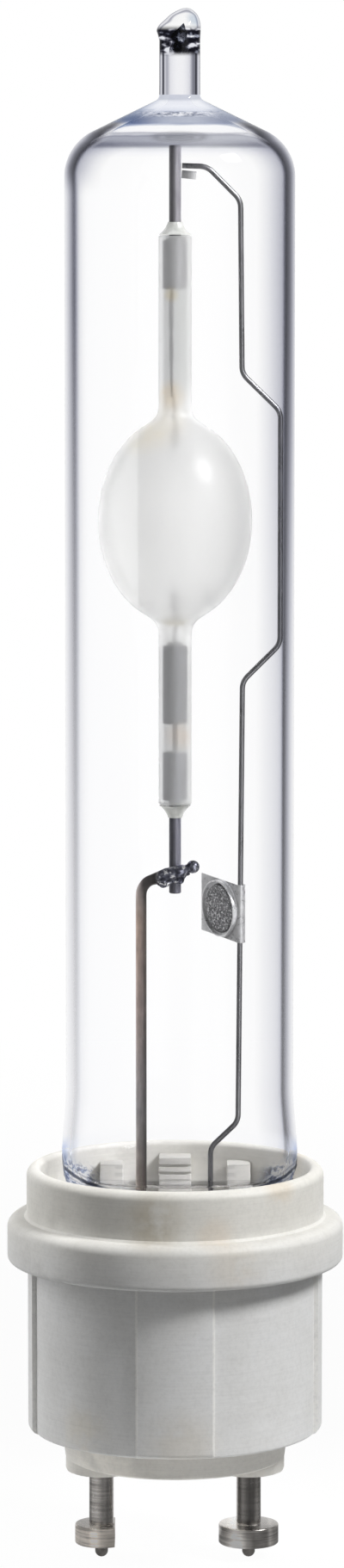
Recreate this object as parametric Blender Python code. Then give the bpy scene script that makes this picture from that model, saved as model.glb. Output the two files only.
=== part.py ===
"""Single-ended ceramic metal halide lamp: twist-lock ceramic base, clear outer bulb, ceramic arc tube.

Metres, +Z up. The origin is the centre of the plinth's flat underside, between the two contact pins.
+X runs from the pin with the cut head to the pin with the round head. The press seal lies along X.
"""

import math

import bmesh
import bpy
from mathutils import Vector

# Ceramic base, from the plinth up
PLINTH_BOTTOM_RADIUS = 0.0134
PLINTH_TOP_RADIUS = 0.01375
PLINTH_HEIGHT = 0.00345
BODY_RADIUS = 0.0174
BODY_HEIGHT = 0.02085
BODY_EDGE = 0.00035
PAD_RISE = 0.00052
PAD_WIDTH = 0.0092
PAD_COUNT = 4
PAD_EDGE = 0.00045
FLANGE_REACH = 0.00235
FLANGE_HEIGHT = 0.0054
FLANGE_EDGE = 0.0006
COLLAR_RADIUS = 0.01805
COLLAR_HEIGHT = 0.0061
COLLAR_WALL = 0.0017
RIM_EDGE = 0.0011
CUP_DEPTH = 0.0225
BOSS_RADIUS = 0.00435
BOSS_HEIGHT = 0.0020
BOSS_EDGE = 0.0003

# Ribs moulded on the cup's wall
RIB_REACH = 0.0033
RIB_TOP_DROP = 0.0016
KEY_RIB_WIDTH = 0.0040
SIDE_RIB_WIDTH = 0.0029
SIDE_RIB_OFFSET = 0.0079
RIDGE_PITCH = 0.00110
RIDGE_DEPTH = 0.0004
RIDGE_COUNT = 6

# Contact pins
PIN_SPACING = 0.0180
PIN_RADIUS = 0.0015
PIN_BORE_RADIUS = 0.00055
PIN_REACH = 0.0086
HEAD_HEIGHT = 0.0024
ROUND_HEAD_RADIUS = 0.00365
CUT_HEAD_RADIUS = 0.00323
CUT_HEAD_FLAT = 0.00164
HEAD_EDGE = 0.00018
RIVET_RADIUS = 0.0023
RIVET_HEIGHT = 0.0006
BEAD_RADIUS = 0.0008
BEAD_LENGTH = 0.0017

# Outer bulb
BULB_SHIFT = 0.00055
BULB_RADIUS = 0.01375
BULB_WALL = 0.00105
DOME_HEADROOM = 0.00542
SHOULDER_RADIUS = 0.0060
CONE_SLOPE = 0.48
STUB_RADIUS = 0.00242
STUB_BORE_RADIUS = 0.00125
STUB_LENGTH = 0.0069
TIP_HEIGHT = 0.0038
BORE_HEAD = 0.0004
FLARE_RADIUS = 0.0143
FLARE_HEIGHT = 0.0090
NECK_RISE = 0.0011
NECK_DEPTH = 0.0040
SEAL_HALF_WIDTH = 0.0124
SEAL_HALF_THICKNESS = 0.0024
SEAL_LENGTH = 0.0150
SEAL_CORNER_POWER = 6.0

# Metal in the press seal
FOIL_WIDTH = 0.0032
FOIL_THICKNESS = 0.0002
FOIL_LENGTH = 0.0080
FOIL_LEFT_X = -0.0041
FOIL_RIGHT_X = 0.0043
FOIL_OVERLAP = 0.0015
OUTER_LEAD_RADIUS = 0.0004

# Cement in the cup
CEMENT_TOP_DROP = 0.0073
CEMENT_HEIGHT = 0.0075

# Arc tube
ARC_CENTRE = 0.1142
ARC_RADIUS = 0.00925
ARC_HALF_HEIGHT = 0.0123
ARC_WALL = 0.0009
NECK_HEIGHT = 0.01375
NECK_FLARE = 0.28
PLUG_RADIUS = 0.001975
PLUG_BORE_RADIUS = 0.00095
UPPER_PLUG_LENGTH = 0.0202
LOWER_PLUG_LENGTH = 0.0205
FRIT_HEIGHT = 0.0015
FRIT_TIP_RADIUS = 0.00095

# Leads and electrodes of the arc tube
NIOBIUM_RADIUS = 0.000725
NIOBIUM_DEPTH = 0.0064
UPPER_NIOBIUM_REACH = 0.0107
LOWER_NIOBIUM_REACH = 0.0108
FEEDTHROUGH_RADIUS = 0.00055
FEEDTHROUGH_SETBACK = 0.0009
ELECTRODE_RADIUS = 0.00030
ELECTRODE_TIP = 0.0080
COIL_WIRE_RADIUS = 0.00014
COIL_TURNS = 6
COIL_SETBACK = 0.0007

# Wires round the arc tube
SUPPORT_RADIUS = 0.00065
SUPPORT_WELD_DROP = 0.00815
SUPPORT_BEND_DROP = 0.0023
SUPPORT_KNOB_X = 0.00205
SUPPORT_KNOB_RADIUS = 0.00072
SUPPORT_ARM_SLOPE = 0.34
FRAME_RADIUS = 0.000325
FRAME_BEND_RADIUS = 0.0011
FRAME_WELD_RISE = 0.00815
FRAME_ELBOW_X = 0.0038
FRAME_ELBOW_DROP = 0.0040
FRAME_INNER_X = 0.0080
FRAME_OUTER_X = 0.01232
FRAME_LOW_X = 0.0078
FRAME_LEAN = 0.0004
FRAME_BOW_BELOW = 0.0151
FRAME_BOW_ABOVE = 0.0130
FRAME_FOOT_RISE = 0.0011
FRAME_RUN_RISE = 0.0043

# Weld strip and getter
STRIP_LENGTH = 0.00175
STRIP_WIDTH = 0.00095
STRIP_THICKNESS = 0.00015
STRIP_DROOP = 6.0
GETTER_HEIGHT = 0.0675
GETTER_WIDTH = 0.0074
GETTER_TALL = 0.0070
GETTER_SHEET = 0.0002
GETTER_TURN = 58.4
GETTER_SHEAR = 0.00065
GETTER_RING_RADIUS = 0.0034
GETTER_RING_WALL = 0.0002
GETTER_RING_RISE = 0.0005
PELLET_THICKNESS = 0.00035

# Fill of the arc tube
SALT_LIFT = 0.0012
SALT_HEIGHT = 0.0009
MERCURY_RADIUS = 0.0007
MERCURY_ANGLE = 58.0

# Clearances
SEAT_GAP = 0.0003
FIT_GAP = 0.0001

# Facets
ROUND_SIDES = 56
BULB_SIDES = 36
ARC_SIDES = 24
PIN_SIDES = 22
LEAD_SIDES = 8
DOME_STEPS = 5

FLANGE_RADIUS = COLLAR_RADIUS + FLANGE_REACH
BODY_TOP = PLINTH_HEIGHT + BODY_HEIGHT
FLANGE_TOP = BODY_TOP + FLANGE_HEIGHT
RIM_TOP = FLANGE_TOP + COLLAR_HEIGHT
CUP_FLOOR = RIM_TOP - CUP_DEPTH
CUP_RADIUS = COLLAR_RADIUS - COLLAR_WALL
CEMENT_TOP = RIM_TOP - CEMENT_TOP_DROP
CEMENT_BOTTOM = CEMENT_TOP - CEMENT_HEIGHT
NECK_TOP = RIM_TOP + NECK_RISE
SEAL_TOP = NECK_TOP - NECK_DEPTH
SEAL_BOTTOM = SEAL_TOP - SEAL_LENGTH
FOIL_BOTTOM = SEAL_BOTTOM + 0.35 * (SEAL_LENGTH - FOIL_LENGTH)
FOIL_TOP = FOIL_BOTTOM + FOIL_LENGTH
UPPER_PLUG_END = ARC_CENTRE + NECK_HEIGHT + UPPER_PLUG_LENGTH
LOWER_PLUG_END = ARC_CENTRE - NECK_HEIGHT - LOWER_PLUG_LENGTH
BULB_TOP = UPPER_PLUG_END + UPPER_NIOBIUM_REACH + DOME_HEADROOM
SUPPORT_CROSSING = LOWER_PLUG_END - SUPPORT_WELD_DROP
SUPPORT_BEND = SUPPORT_CROSSING - SUPPORT_BEND_DROP
FRAME_WELD = UPPER_PLUG_END + FRAME_WELD_RISE
BOW_BOTTOM = ARC_CENTRE - FRAME_BOW_BELOW
BOW_TOP = ARC_CENTRE + FRAME_BOW_ABOVE
BOW_STEP = FRAME_OUTER_X - FRAME_INNER_X
RUN_BOTTOM = NECK_TOP + FRAME_RUN_RISE
RUN_TOP = BOW_BOTTOM - BOW_STEP


def material(name, colour, roughness, metallic=0.0, transmission=0.0):
    """A Principled material, reused when it was made before."""
    made = bpy.data.materials.get(name)
    if made is None:
        made = bpy.data.materials.new(name)
        made.use_nodes = True
        shader = made.node_tree.nodes["Principled BSDF"]
        shader.inputs["Base Color"].default_value = (*colour, 1.0)
        shader.inputs["Roughness"].default_value = roughness
        shader.inputs["Metallic"].default_value = metallic
        shader.inputs["Transmission Weight"].default_value = transmission
    return made


def add_object(name, data, finish=None):
    """Link new data to the scene under the lamp's empty."""
    made = bpy.data.objects.new(name, data)
    bpy.context.collection.objects.link(made)
    if finish is not None:
        data.materials.append(finish)
    return made


def finish_mesh(name, work, finish=None, sharp_angle=40.0):
    """Turn a bmesh into an object with outward faces and smooth shading."""
    bmesh.ops.recalc_face_normals(work, faces=work.faces)
    mesh = bpy.data.meshes.new(name)
    work.to_mesh(mesh)
    work.free()
    mesh.shade_smooth()
    mesh.set_sharp_from_angle(angle=math.radians(sharp_angle))
    return add_object(name, mesh, finish)


def turned(name, outline, sides, finish=None, closed=False):
    """Spin an outline of (radius, height) pairs about Z. A closed outline makes a ring."""
    work = bmesh.new()
    points = [work.verts.new((radius, 0.0, height)) for radius, height in outline]
    edges = [work.edges.new(pair) for pair in zip(points, points[1:])]
    if closed:
        edges.append(work.edges.new((points[-1], points[0])))
    bmesh.ops.spin(
        work,
        geom=points + edges,
        cent=(0.0, 0.0, 0.0),
        axis=(0.0, 0.0, 1.0),
        angle=2.0 * math.pi,
        steps=sides,
        use_merge=True,
        use_duplicate=False,
    )
    bmesh.ops.remove_doubles(work, verts=work.verts, dist=1e-7)
    bmesh.ops.dissolve_degenerate(work, edges=work.edges, dist=1e-7)
    return finish_mesh(name, work, finish)


def lofted(name, rings, finish=None):
    """Skin closed rings of equal point count and cap both ends."""
    work = bmesh.new()
    loops = [[work.verts.new(point) for point in ring] for ring in rings]
    for lower, upper in zip(loops, loops[1:]):
        count = len(lower)
        for i in range(count):
            j = (i + 1) % count
            work.faces.new((lower[i], lower[j], upper[j], upper[i]))
    work.faces.new(loops[0])
    work.faces.new(loops[-1])
    return finish_mesh(name, work, finish)


def prism(name, outline, low, high, finish=None, edge=0.0):
    """Extrude a flat outline of (x, y) pairs from low to high. The lower rim gets a rounded edge."""
    work = bmesh.new()
    face = work.faces.new([work.verts.new((x, y, low)) for x, y in outline])
    rim = list(face.edges)
    extruded = bmesh.ops.extrude_face_region(work, geom=[face], use_keep_orig=True)["geom"]
    moved = [item for item in extruded if isinstance(item, bmesh.types.BMVert)]
    bmesh.ops.translate(work, verts=moved, vec=(0.0, 0.0, high - low))
    if edge > 0.0:
        bmesh.ops.bevel(work, geom=rim, offset=edge, segments=2, profile=0.5, affect="EDGES")
    return finish_mesh(name, work, finish)


def block(name, low, high, finish=None):
    """A box between two corners."""
    work = bmesh.new()
    bmesh.ops.create_cube(work, size=1.0)
    for corner in work.verts:
        corner.co = Vector(low[k] if corner.co[k] < 0.0 else high[k] for k in range(3))
    return finish_mesh(name, work, finish, 30.0)


def circle(radius, sides):
    """Points of a circle round the origin."""
    return [
        (radius * math.cos(2.0 * math.pi * i / sides), radius * math.sin(2.0 * math.pi * i / sides))
        for i in range(sides)
    ]


def arc(centre, radius, start, end, steps):
    """Points of an arc in an (r, z) outline, angles in degrees from the outward direction."""
    angles = [math.radians(start + (end - start) * i / steps) for i in range(steps + 1)]
    return [(centre[0] + radius * math.cos(a), centre[1] + radius * math.sin(a)) for a in angles]


def rounded_path(corners, radius, steps=3):
    """A path through corners with each bend turned into an arc-like curve of the given reach."""
    path = [Vector(corners[0])]
    for before, corner, after in zip(corners, corners[1:], corners[2:]):
        before, corner, after = Vector(before), Vector(corner), Vector(after)
        into = (corner - before).normalized()
        out = (after - corner).normalized()
        turn = into.angle(out)
        shortest = min((corner - before).length, (after - corner).length)
        reach = min(radius * math.tan(turn / 2.0), 0.45 * shortest)
        first = corner - into * reach
        last = corner + out * reach
        for i in range(steps + 1):
            t = i / steps
            path.append((1 - t) ** 2 * first + 2 * t * (1 - t) * corner + t * t * last)
    path.append(Vector(corners[-1]))
    return path


def tube(name, path, radius, finish=None, sides=LEAD_SIDES, swell=None):
    """A round wire along a path. swell gives a factor on the radius for each point."""
    curve = bpy.data.curves.new(name, "CURVE")
    curve.dimensions = "3D"
    curve.bevel_depth = radius
    curve.bevel_resolution = sides // 2 - 2
    curve.use_fill_caps = True
    spline = curve.splines.new("POLY")
    spline.points.add(len(path) - 1)
    for i, point in enumerate(path):
        spline.points[i].co = (*point, 1.0)
        spline.points[i].radius = swell[i] if swell else 1.0
    spline.use_smooth = True
    return add_object(name, curve, finish)


def as_cutter(made):
    """A shape that only cuts or joins: hidden from renders and drawn as wire."""
    made.hide_render = True
    made.display_type = "WIRE"
    return made


def combine(target, tool, operation):
    """Add a Boolean modifier that joins or cuts target with tool."""
    step = target.modifiers.new(operation.lower() + "_" + tool.name, "BOOLEAN")
    step.operation = operation
    step.solver = "EXACT"
    step.object = as_cutter(tool)


def make_pad(index):
    """One raised pad on the body's side: a strip of a larger cylinder, rounded at its foot."""
    radius = BODY_RADIUS + PAD_RISE
    half = math.asin(PAD_WIDTH / 2.0 / radius)
    turn = 2.0 * math.pi * index / PAD_COUNT
    inner = BODY_RADIUS - PAD_RISE
    steps = 6
    angles = [turn - half + 2.0 * half * i / steps for i in range(steps + 1)]
    outline = [(radius * math.cos(a), radius * math.sin(a)) for a in angles]
    outline += [(inner * math.cos(a), inner * math.sin(a)) for a in reversed(angles)]
    return prism(
        f"pad_{index}",
        outline,
        PLINTH_HEIGHT,
        BODY_TOP + FLANGE_HEIGHT / 2.0,
        edge=PAD_EDGE,
    )


def rib_box(name, centre_x, width, side, grow):
    """A plain rib from the cup's wall inwards, on the front (side -1) or the back (side 1)."""
    inner = CUP_RADIUS - RIB_REACH - grow
    outer = CUP_RADIUS + COLLAR_WALL / 2.0
    ys = sorted((side * inner, side * outer))
    half = width / 2.0 + grow
    return block(
        name,
        (centre_x - half, ys[0], CUP_FLOOR - SEAT_GAP),
        (centre_x + half, ys[1], RIM_TOP - RIB_TOP_DROP + grow),
    )


def make_key_rib(name, side):
    """The rib in the middle of the wall, with a row of horizontal ridges on its face."""
    top = RIM_TOP - RIB_TOP_DROP
    face = CUP_RADIUS - RIB_REACH
    outer = CUP_RADIUS + COLLAR_WALL / 2.0
    outline = [(outer, top), (face, top)]
    for i in range(RIDGE_COUNT):
        level = top - (i + 0.5) * RIDGE_PITCH
        outline.append((face + RIDGE_DEPTH, level - 0.15 * RIDGE_PITCH))
        outline.append((face, level - 0.35 * RIDGE_PITCH))
        outline.append((face, level - 0.5 * RIDGE_PITCH))
    outline += [(face, CUP_FLOOR - SEAT_GAP), (outer, CUP_FLOOR - SEAT_GAP)]
    half = KEY_RIB_WIDTH / 2.0
    work = bmesh.new()
    start = work.faces.new([work.verts.new((-half, side * y, z)) for y, z in outline])
    extruded = bmesh.ops.extrude_face_region(work, geom=[start], use_keep_orig=True)["geom"]
    moved = [item for item in extruded if isinstance(item, bmesh.types.BMVert)]
    bmesh.ops.translate(work, verts=moved, vec=(2.0 * half, 0.0, 0.0))
    return finish_mesh(name, work, None, 30.0)


def make_side_rib(name, x, side, grow=0.0):
    """A plain rib beside the key rib. Its root ends inside the collar's wall at both of its edges."""
    near = abs(x) - SIDE_RIB_WIDTH / 2.0
    far = abs(x) + SIDE_RIB_WIDTH / 2.0
    inner = math.sqrt(CUP_RADIUS ** 2 - far ** 2) - 0.6 * RIB_REACH - grow
    outer = (math.sqrt(CUP_RADIUS ** 2 - near ** 2) + math.sqrt(COLLAR_RADIUS ** 2 - far ** 2)) / 2.0
    ys = sorted((side * inner, side * outer))
    half = SIDE_RIB_WIDTH / 2.0 + grow
    return block(
        name,
        (x - half, ys[0], CUP_FLOOR - SEAT_GAP),
        (x + half, ys[1], RIM_TOP - 1.3 * RIB_TOP_DROP + grow),
    )


def make_base():
    """The one-piece ceramic: plinth, bosses, padded body, flange and ribbed cup, with its two pin holes."""
    outline = [(0.0, 0.0), (PLINTH_BOTTOM_RADIUS, 0.0), (PLINTH_TOP_RADIUS, PLINTH_HEIGHT)]
    outline += arc((BODY_RADIUS - BODY_EDGE, PLINTH_HEIGHT + BODY_EDGE), BODY_EDGE, -90.0, 0.0, 2)
    outline.append((BODY_RADIUS, BODY_TOP))
    outline += arc((FLANGE_RADIUS - FLANGE_EDGE, BODY_TOP + FLANGE_EDGE), FLANGE_EDGE, -90.0, 0.0, 3)
    outline += arc((FLANGE_RADIUS - FLANGE_EDGE, FLANGE_TOP - FLANGE_EDGE), FLANGE_EDGE, 0.0, 90.0, 3)
    outline.append((COLLAR_RADIUS, FLANGE_TOP))
    outline += arc((COLLAR_RADIUS - RIM_EDGE, RIM_TOP - RIM_EDGE), RIM_EDGE, 0.0, 90.0, 4)
    lip = (COLLAR_WALL - RIM_EDGE) / 2.0
    outline += arc((CUP_RADIUS + lip, RIM_TOP - lip), lip, 90.0, 180.0, 2)
    outline += [(CUP_RADIUS, CUP_FLOOR), (0.0, CUP_FLOOR)]
    base = turned("ceramic_base", outline, ROUND_SIDES, material("steatite", (0.62, 0.62, 0.60), 0.55))
    for i in range(PAD_COUNT):
        combine(base, make_pad(i), "UNION")
    for side in (-1, 1):
        boss = prism(
            f"boss_{side}",
            circle(BOSS_RADIUS, ROUND_SIDES // 2),
            -BOSS_HEIGHT,
            PLINTH_HEIGHT / 2.0,
            edge=BOSS_EDGE,
        )
        boss.location.x = side * PIN_SPACING / 2.0
        combine(base, boss, "UNION")
        combine(base, make_key_rib(f"key_rib_{side}", side), "UNION")
        for x in (-SIDE_RIB_OFFSET, SIDE_RIB_OFFSET):
            combine(base, make_side_rib(f"side_rib_{side}_{'low' if x < 0 else 'high'}", x, side), "UNION")
        hole = prism(
            f"pin_hole_{side}",
            circle(PIN_RADIUS + FIT_GAP, PIN_SIDES),
            -2.0 * BOSS_HEIGHT,
            CUP_FLOOR + RIVET_HEIGHT,
        )
        hole.location.x = side * PIN_SPACING / 2.0
        combine(base, hole, "DIFFERENCE")
    return base


def make_pin(name, side, head_radius, finish):
    """A hollow turned pin: disc head, shank through the ceramic, end riveted over the cup's floor."""
    top = CUP_FLOOR + SEAT_GAP / 2.0
    head_top = -PIN_REACH
    head_bottom = head_top - HEAD_HEIGHT
    outline = [
        (PIN_BORE_RADIUS, head_bottom),
        (head_radius - HEAD_EDGE, head_bottom),
        (head_radius, head_bottom + HEAD_EDGE),
        (head_radius, head_top - HEAD_EDGE),
        (head_radius - HEAD_EDGE, head_top),
        (PIN_RADIUS, head_top),
        (PIN_RADIUS, top),
        (RIVET_RADIUS, top),
        (RIVET_RADIUS, top + 0.5 * RIVET_HEIGHT),
        (RIVET_RADIUS - 0.5 * RIVET_HEIGHT, top + RIVET_HEIGHT),
        (PIN_BORE_RADIUS, top + RIVET_HEIGHT),
    ]
    pin = turned(name, outline, PIN_SIDES, finish, closed=True)
    pin.location.x = side * PIN_SPACING / 2.0
    return pin


def make_pins():
    """Both contact pins. The left head is cut flat on the side that faces the other pin."""
    finish = material("nickel_plate", (0.48, 0.45, 0.42), 0.32, 1.0)
    left = make_pin("contact_pin_left", -1, CUT_HEAD_RADIUS, finish)
    make_pin("contact_pin_right", 1, ROUND_HEAD_RADIUS, finish)
    flat = -PIN_SPACING / 2.0 + CUT_HEAD_FLAT
    reach = CUT_HEAD_RADIUS + SEAT_GAP
    cut = block(
        "head_cut",
        (flat, -reach, -PIN_REACH - 2.0 * HEAD_HEIGHT),
        (flat + reach, reach, -PIN_REACH + SEAT_GAP),
    )
    combine(left, cut, "DIFFERENCE")


def make_outer_lead(name, side, foil_x):
    """The wire from a seal foil down through a hollow pin, its end melted into a bead under the head."""
    finish = material("nickel_wire", (0.40, 0.38, 0.37), 0.35, 1.0)
    pin_x = side * PIN_SPACING / 2.0
    pin_bottom = -PIN_REACH - HEAD_HEIGHT
    lead_top = FOIL_BOTTOM + FOIL_OVERLAP
    jog_top = SEAL_BOTTOM - 2.0 * OUTER_LEAD_RADIUS
    jog_bottom = CUP_FLOOR + 2.0 * RIVET_HEIGHT + OUTER_LEAD_RADIUS
    bead_top = pin_bottom - FIT_GAP
    corners = [
        (foil_x, 0.0, lead_top),
        (foil_x, 0.0, jog_top),
        (pin_x, 0.0, jog_bottom),
        (pin_x, 0.0, bead_top),
    ]
    path = rounded_path(corners, 1.2 * OUTER_LEAD_RADIUS)
    swell = [1.0] * len(path)
    full = BEAD_RADIUS / OUTER_LEAD_RADIUS
    straight = BEAD_LENGTH - BEAD_RADIUS
    path.append(Vector((pin_x, 0.0, bead_top - 0.05 * BEAD_RADIUS)))
    swell.append(0.95 * full)
    for angle in (0.0, 25.0, 50.0, 70.0, 84.0):
        drop = straight + BEAD_RADIUS * math.sin(math.radians(angle))
        path.append(Vector((pin_x, 0.0, bead_top - drop)))
        swell.append(full * math.cos(math.radians(angle)))
    return tube(name, path, OUTER_LEAD_RADIUS, finish, swell=swell)


def section(half_width, half_depth, power, height, sides=BULB_SIDES, centre=BULB_SHIFT):
    """One level ring of the bulb: a superellipse, round at power 2 and boxy at higher powers."""
    ring = []
    for i in range(sides):
        angle = 2.0 * math.pi * i / sides
        c = math.cos(angle)
        s = math.sin(angle)
        x = math.copysign(abs(c) ** (2.0 / power), c) * half_width
        y = math.copysign(abs(s) ** (2.0 / power), s) * half_depth
        ring.append((centre + x, y, height))
    return ring


def neck_ring(t, wall):
    """A ring of the press: t runs from 0 at the round tube to 1 at the flat seal."""
    ease = (1.0 - t ** 2.2) ** (1.0 / 2.2)
    thin = SEAL_HALF_THICKNESS - wall
    width = SEAL_HALF_WIDTH - wall + (FLARE_RADIUS - SEAL_HALF_WIDTH) * ease
    depth = thin + (FLARE_RADIUS - SEAL_HALF_THICKNESS) * ease
    power = 2.0 + (SEAL_CORNER_POWER - 2.0) * t ** 3
    return section(width, depth, power, NECK_TOP - t * NECK_DEPTH)


def flare_radius(height):
    """The tube widens a little towards the press."""
    t = min(max((height - NECK_TOP) / FLARE_HEIGHT, 0.0), 1.0)
    return FLARE_RADIUS + (BULB_RADIUS - FLARE_RADIUS) * t * t * (3.0 - 2.0 * t)


def dome_outline(wall):
    """The (r, z) outline of the dome, from the tube up to the stub: shoulder arc, then a cone."""
    norm = math.hypot(1.0, CONE_SLOPE)
    foot = BULB_TOP + CONE_SLOPE * STUB_RADIUS
    centre_r = BULB_RADIUS - SHOULDER_RADIUS
    centre_z = foot - CONE_SLOPE * centre_r - norm * SHOULDER_RADIUS
    lean = math.degrees(math.atan2(1.0, CONE_SLOPE))
    return arc((centre_r, centre_z), SHOULDER_RADIUS - wall, 0.0, lean, DOME_STEPS)


def tip_rings():
    """The melted-off end of the stub: it leans, with a low lobe on the left and a round top on the right."""
    top = BULB_TOP + STUB_LENGTH
    shape = [
        (0.00, 0.00, 1.00),
        (0.18, -0.03, 1.05),
        (0.32, -0.06, 1.08),
        (0.48, 0.01, 1.01),
        (0.64, 0.12, 0.84),
        (0.80, 0.20, 0.62),
        (0.92, 0.26, 0.38),
        (1.00, 0.30, 0.12),
    ]
    rings = []
    for rise, lean, swell in shape:
        size = STUB_RADIUS * swell
        centre = BULB_SHIFT + lean * STUB_RADIUS
        rings.append(section(size, size * 0.97, 2.0, top + rise * TIP_HEIGHT, centre=centre))
    return rings


def make_bulb():
    """The blown envelope: press seal, tube, dome and stub, with its hollow and the channels of the seal."""
    rings = [
        section(SEAL_HALF_WIDTH - SEAT_GAP, SEAL_HALF_THICKNESS - SEAT_GAP, SEAL_CORNER_POWER, SEAL_BOTTOM),
        section(SEAL_HALF_WIDTH, SEAL_HALF_THICKNESS, SEAL_CORNER_POWER, SEAL_BOTTOM + SEAT_GAP),
    ]
    steps = (1.0, 0.985, 0.93, 0.82, 0.66, 0.45, 0.2, 0.0)
    rings += [neck_ring(t, 0.0) for t in steps]
    for share in (0.25, 0.5, 0.75, 1.0):
        height = NECK_TOP + share * FLARE_HEIGHT
        rings.append(section(flare_radius(height), flare_radius(height), 2.0, height))
    rings += [section(r, r, 2.0, z) for r, z in dome_outline(0.0)]
    rings.append(section(STUB_RADIUS * 1.12, STUB_RADIUS * 1.12, 2.0, BULB_TOP))
    rings.append(section(STUB_RADIUS, STUB_RADIUS, 2.0, BULB_TOP + 0.2 * STUB_RADIUS))
    rings += tip_rings()
    bulb = lofted("outer_bulb", rings, material("clear_quartz", (0.93, 0.95, 0.97), 0.02, 0.0, 1.0))

    hollow = [neck_ring(t, BULB_WALL) for t in (0.93, 0.82, 0.66, 0.45, 0.2, 0.0)]
    hollow = [[(x, y, z + BULB_WALL) for x, y, z in ring] for ring in hollow]
    floor = [(BULB_SHIFT + (x - BULB_SHIFT) * 0.9, y * 0.75, z - 0.1 * BULB_WALL) for x, y, z in hollow[0]]
    hollow.insert(0, floor)
    for share in (0.4, 0.7, 1.0):
        height = NECK_TOP + share * FLARE_HEIGHT
        radius = flare_radius(height) - BULB_WALL
        hollow.append(section(radius, radius, 2.0, height))
    hollow += [section(r, r, 2.0, z) for r, z in dome_outline(BULB_WALL)]
    bore_foot = BULB_TOP - BULB_WALL + CONE_SLOPE * (STUB_RADIUS - STUB_BORE_RADIUS)
    foot_radius = STUB_BORE_RADIUS * 1.15
    hollow.append(section(foot_radius, foot_radius, 2.0, bore_foot - BULB_WALL * 0.1))
    hollow.append(section(STUB_BORE_RADIUS, STUB_BORE_RADIUS, 2.0, bore_foot + STUB_BORE_RADIUS * 0.4))
    bore_top = BULB_TOP + STUB_LENGTH - BORE_HEAD
    for rise, size in ((0.0, 1.0), (0.45, 0.86), (0.8, 0.55), (0.95, 0.2)):
        radius = STUB_BORE_RADIUS * size
        hollow.append(section(radius, radius, 2.0, bore_top + rise * STUB_BORE_RADIUS))
    combine(bulb, lofted("bulb_hollow", hollow), "DIFFERENCE")

    gap = FIT_GAP
    channels = (("left", FOIL_LEFT_X, SUPPORT_RADIUS), ("right", FOIL_RIGHT_X, FRAME_RADIUS))
    for side, foil_x, inner_radius in channels:
        lead = prism(
            f"inner_channel_{side}",
            circle(inner_radius + gap, LEAD_SIDES),
            FOIL_TOP - FOIL_OVERLAP - gap,
            NECK_TOP,
        )
        lead.location.x = foil_x
        combine(bulb, lead, "DIFFERENCE")
        foil_y = foil_plane(inner_radius)
        slot = block(
            f"foil_slot_{side}",
            (foil_x - FOIL_WIDTH / 2.0 - gap, foil_y - FOIL_THICKNESS / 2.0 - gap, FOIL_BOTTOM - gap),
            (foil_x + FOIL_WIDTH / 2.0 + gap, foil_y + FOIL_THICKNESS / 2.0 + gap, FOIL_TOP + gap),
        )
        combine(bulb, slot, "DIFFERENCE")
        exit_channel = prism(
            f"outer_channel_{side}",
            circle(OUTER_LEAD_RADIUS + gap, LEAD_SIDES),
            SEAL_BOTTOM - SEAT_GAP,
            FOIL_BOTTOM + FOIL_OVERLAP + gap,
        )
        exit_channel.location.x = foil_x
        combine(bulb, exit_channel, "DIFFERENCE")
    return bulb


def foil_plane(lead_radius):
    """The y of a foil: behind the lead that is welded on its face."""
    return max(lead_radius, OUTER_LEAD_RADIUS) + FIT_GAP + FOIL_THICKNESS / 2.0


def make_foil(name, foil_x, lead_radius):
    """A molybdenum foil in the press seal."""
    foil_y = foil_plane(lead_radius)
    return block(
        name,
        (foil_x - FOIL_WIDTH / 2.0, foil_y - FOIL_THICKNESS / 2.0, FOIL_BOTTOM),
        (foil_x + FOIL_WIDTH / 2.0, foil_y + FOIL_THICKNESS / 2.0, FOIL_TOP),
        material("molybdenum", (0.45, 0.45, 0.47), 0.35, 1.0),
    )


def make_cement():
    """The cement that holds the press seal in the cup, shaped by the cup's wall, its ribs and the seal."""
    radius = CUP_RADIUS - SEAT_GAP
    edge = SEAT_GAP
    outline = [
        (0.0, CEMENT_BOTTOM),
        (radius, CEMENT_BOTTOM),
        (radius, CEMENT_TOP - edge),
        (radius - edge, CEMENT_TOP),
        (0.0, CEMENT_TOP),
    ]
    cement = turned("base_cement", outline, ROUND_SIDES, material("cement", (0.60, 0.57, 0.52), 0.9))
    width = SEAL_HALF_WIDTH + SEAT_GAP
    depth = SEAL_HALF_THICKNESS + SEAT_GAP
    slot = [
        section(width, depth, SEAL_CORNER_POWER, CEMENT_BOTTOM - SEAT_GAP),
        section(width, depth, SEAL_CORNER_POWER, CEMENT_TOP + SEAT_GAP),
    ]
    combine(cement, lofted("seal_slot", slot), "DIFFERENCE")
    for side in (-1, 1):
        combine(cement, rib_box(f"key_groove_{side}", 0.0, KEY_RIB_WIDTH, side, SEAT_GAP), "DIFFERENCE")
        for x in (-SIDE_RIB_OFFSET, SIDE_RIB_OFFSET):
            groove = make_side_rib(f"groove_{side}_{'low' if x < 0 else 'high'}", x, side, SEAT_GAP)
            combine(cement, groove, "DIFFERENCE")
    return cement


def arc_half(wall, neck_radius):
    """Half of the vessel's outline from its widest point to its neck: an ellipse run into a tube."""
    wide = ARC_RADIUS - wall
    tall = ARC_HALF_HEIGHT - wall
    leave = math.acos(min(0.95, NECK_FLARE + neck_radius / wide))
    points = []
    for i in range(7):
        angle = leave * i / 6
        points.append((wide * math.cos(angle), tall * math.sin(angle)))
    start = Vector(points[-1])
    heading = Vector((-wide * math.sin(leave), tall * math.cos(leave))).normalized()
    end = Vector((neck_radius, NECK_HEIGHT))
    reach = (start - end).length * 0.45
    first = start + heading * reach
    second = end - Vector((0.0, reach))
    for i in range(1, 4):
        t = i / 3
        spot = (1 - t) ** 3 * start + 3 * t * (1 - t) ** 2 * first
        spot += 3 * t * t * (1 - t) * second + t ** 3 * end
        points.append((spot.x, spot.y))
    return points


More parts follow.
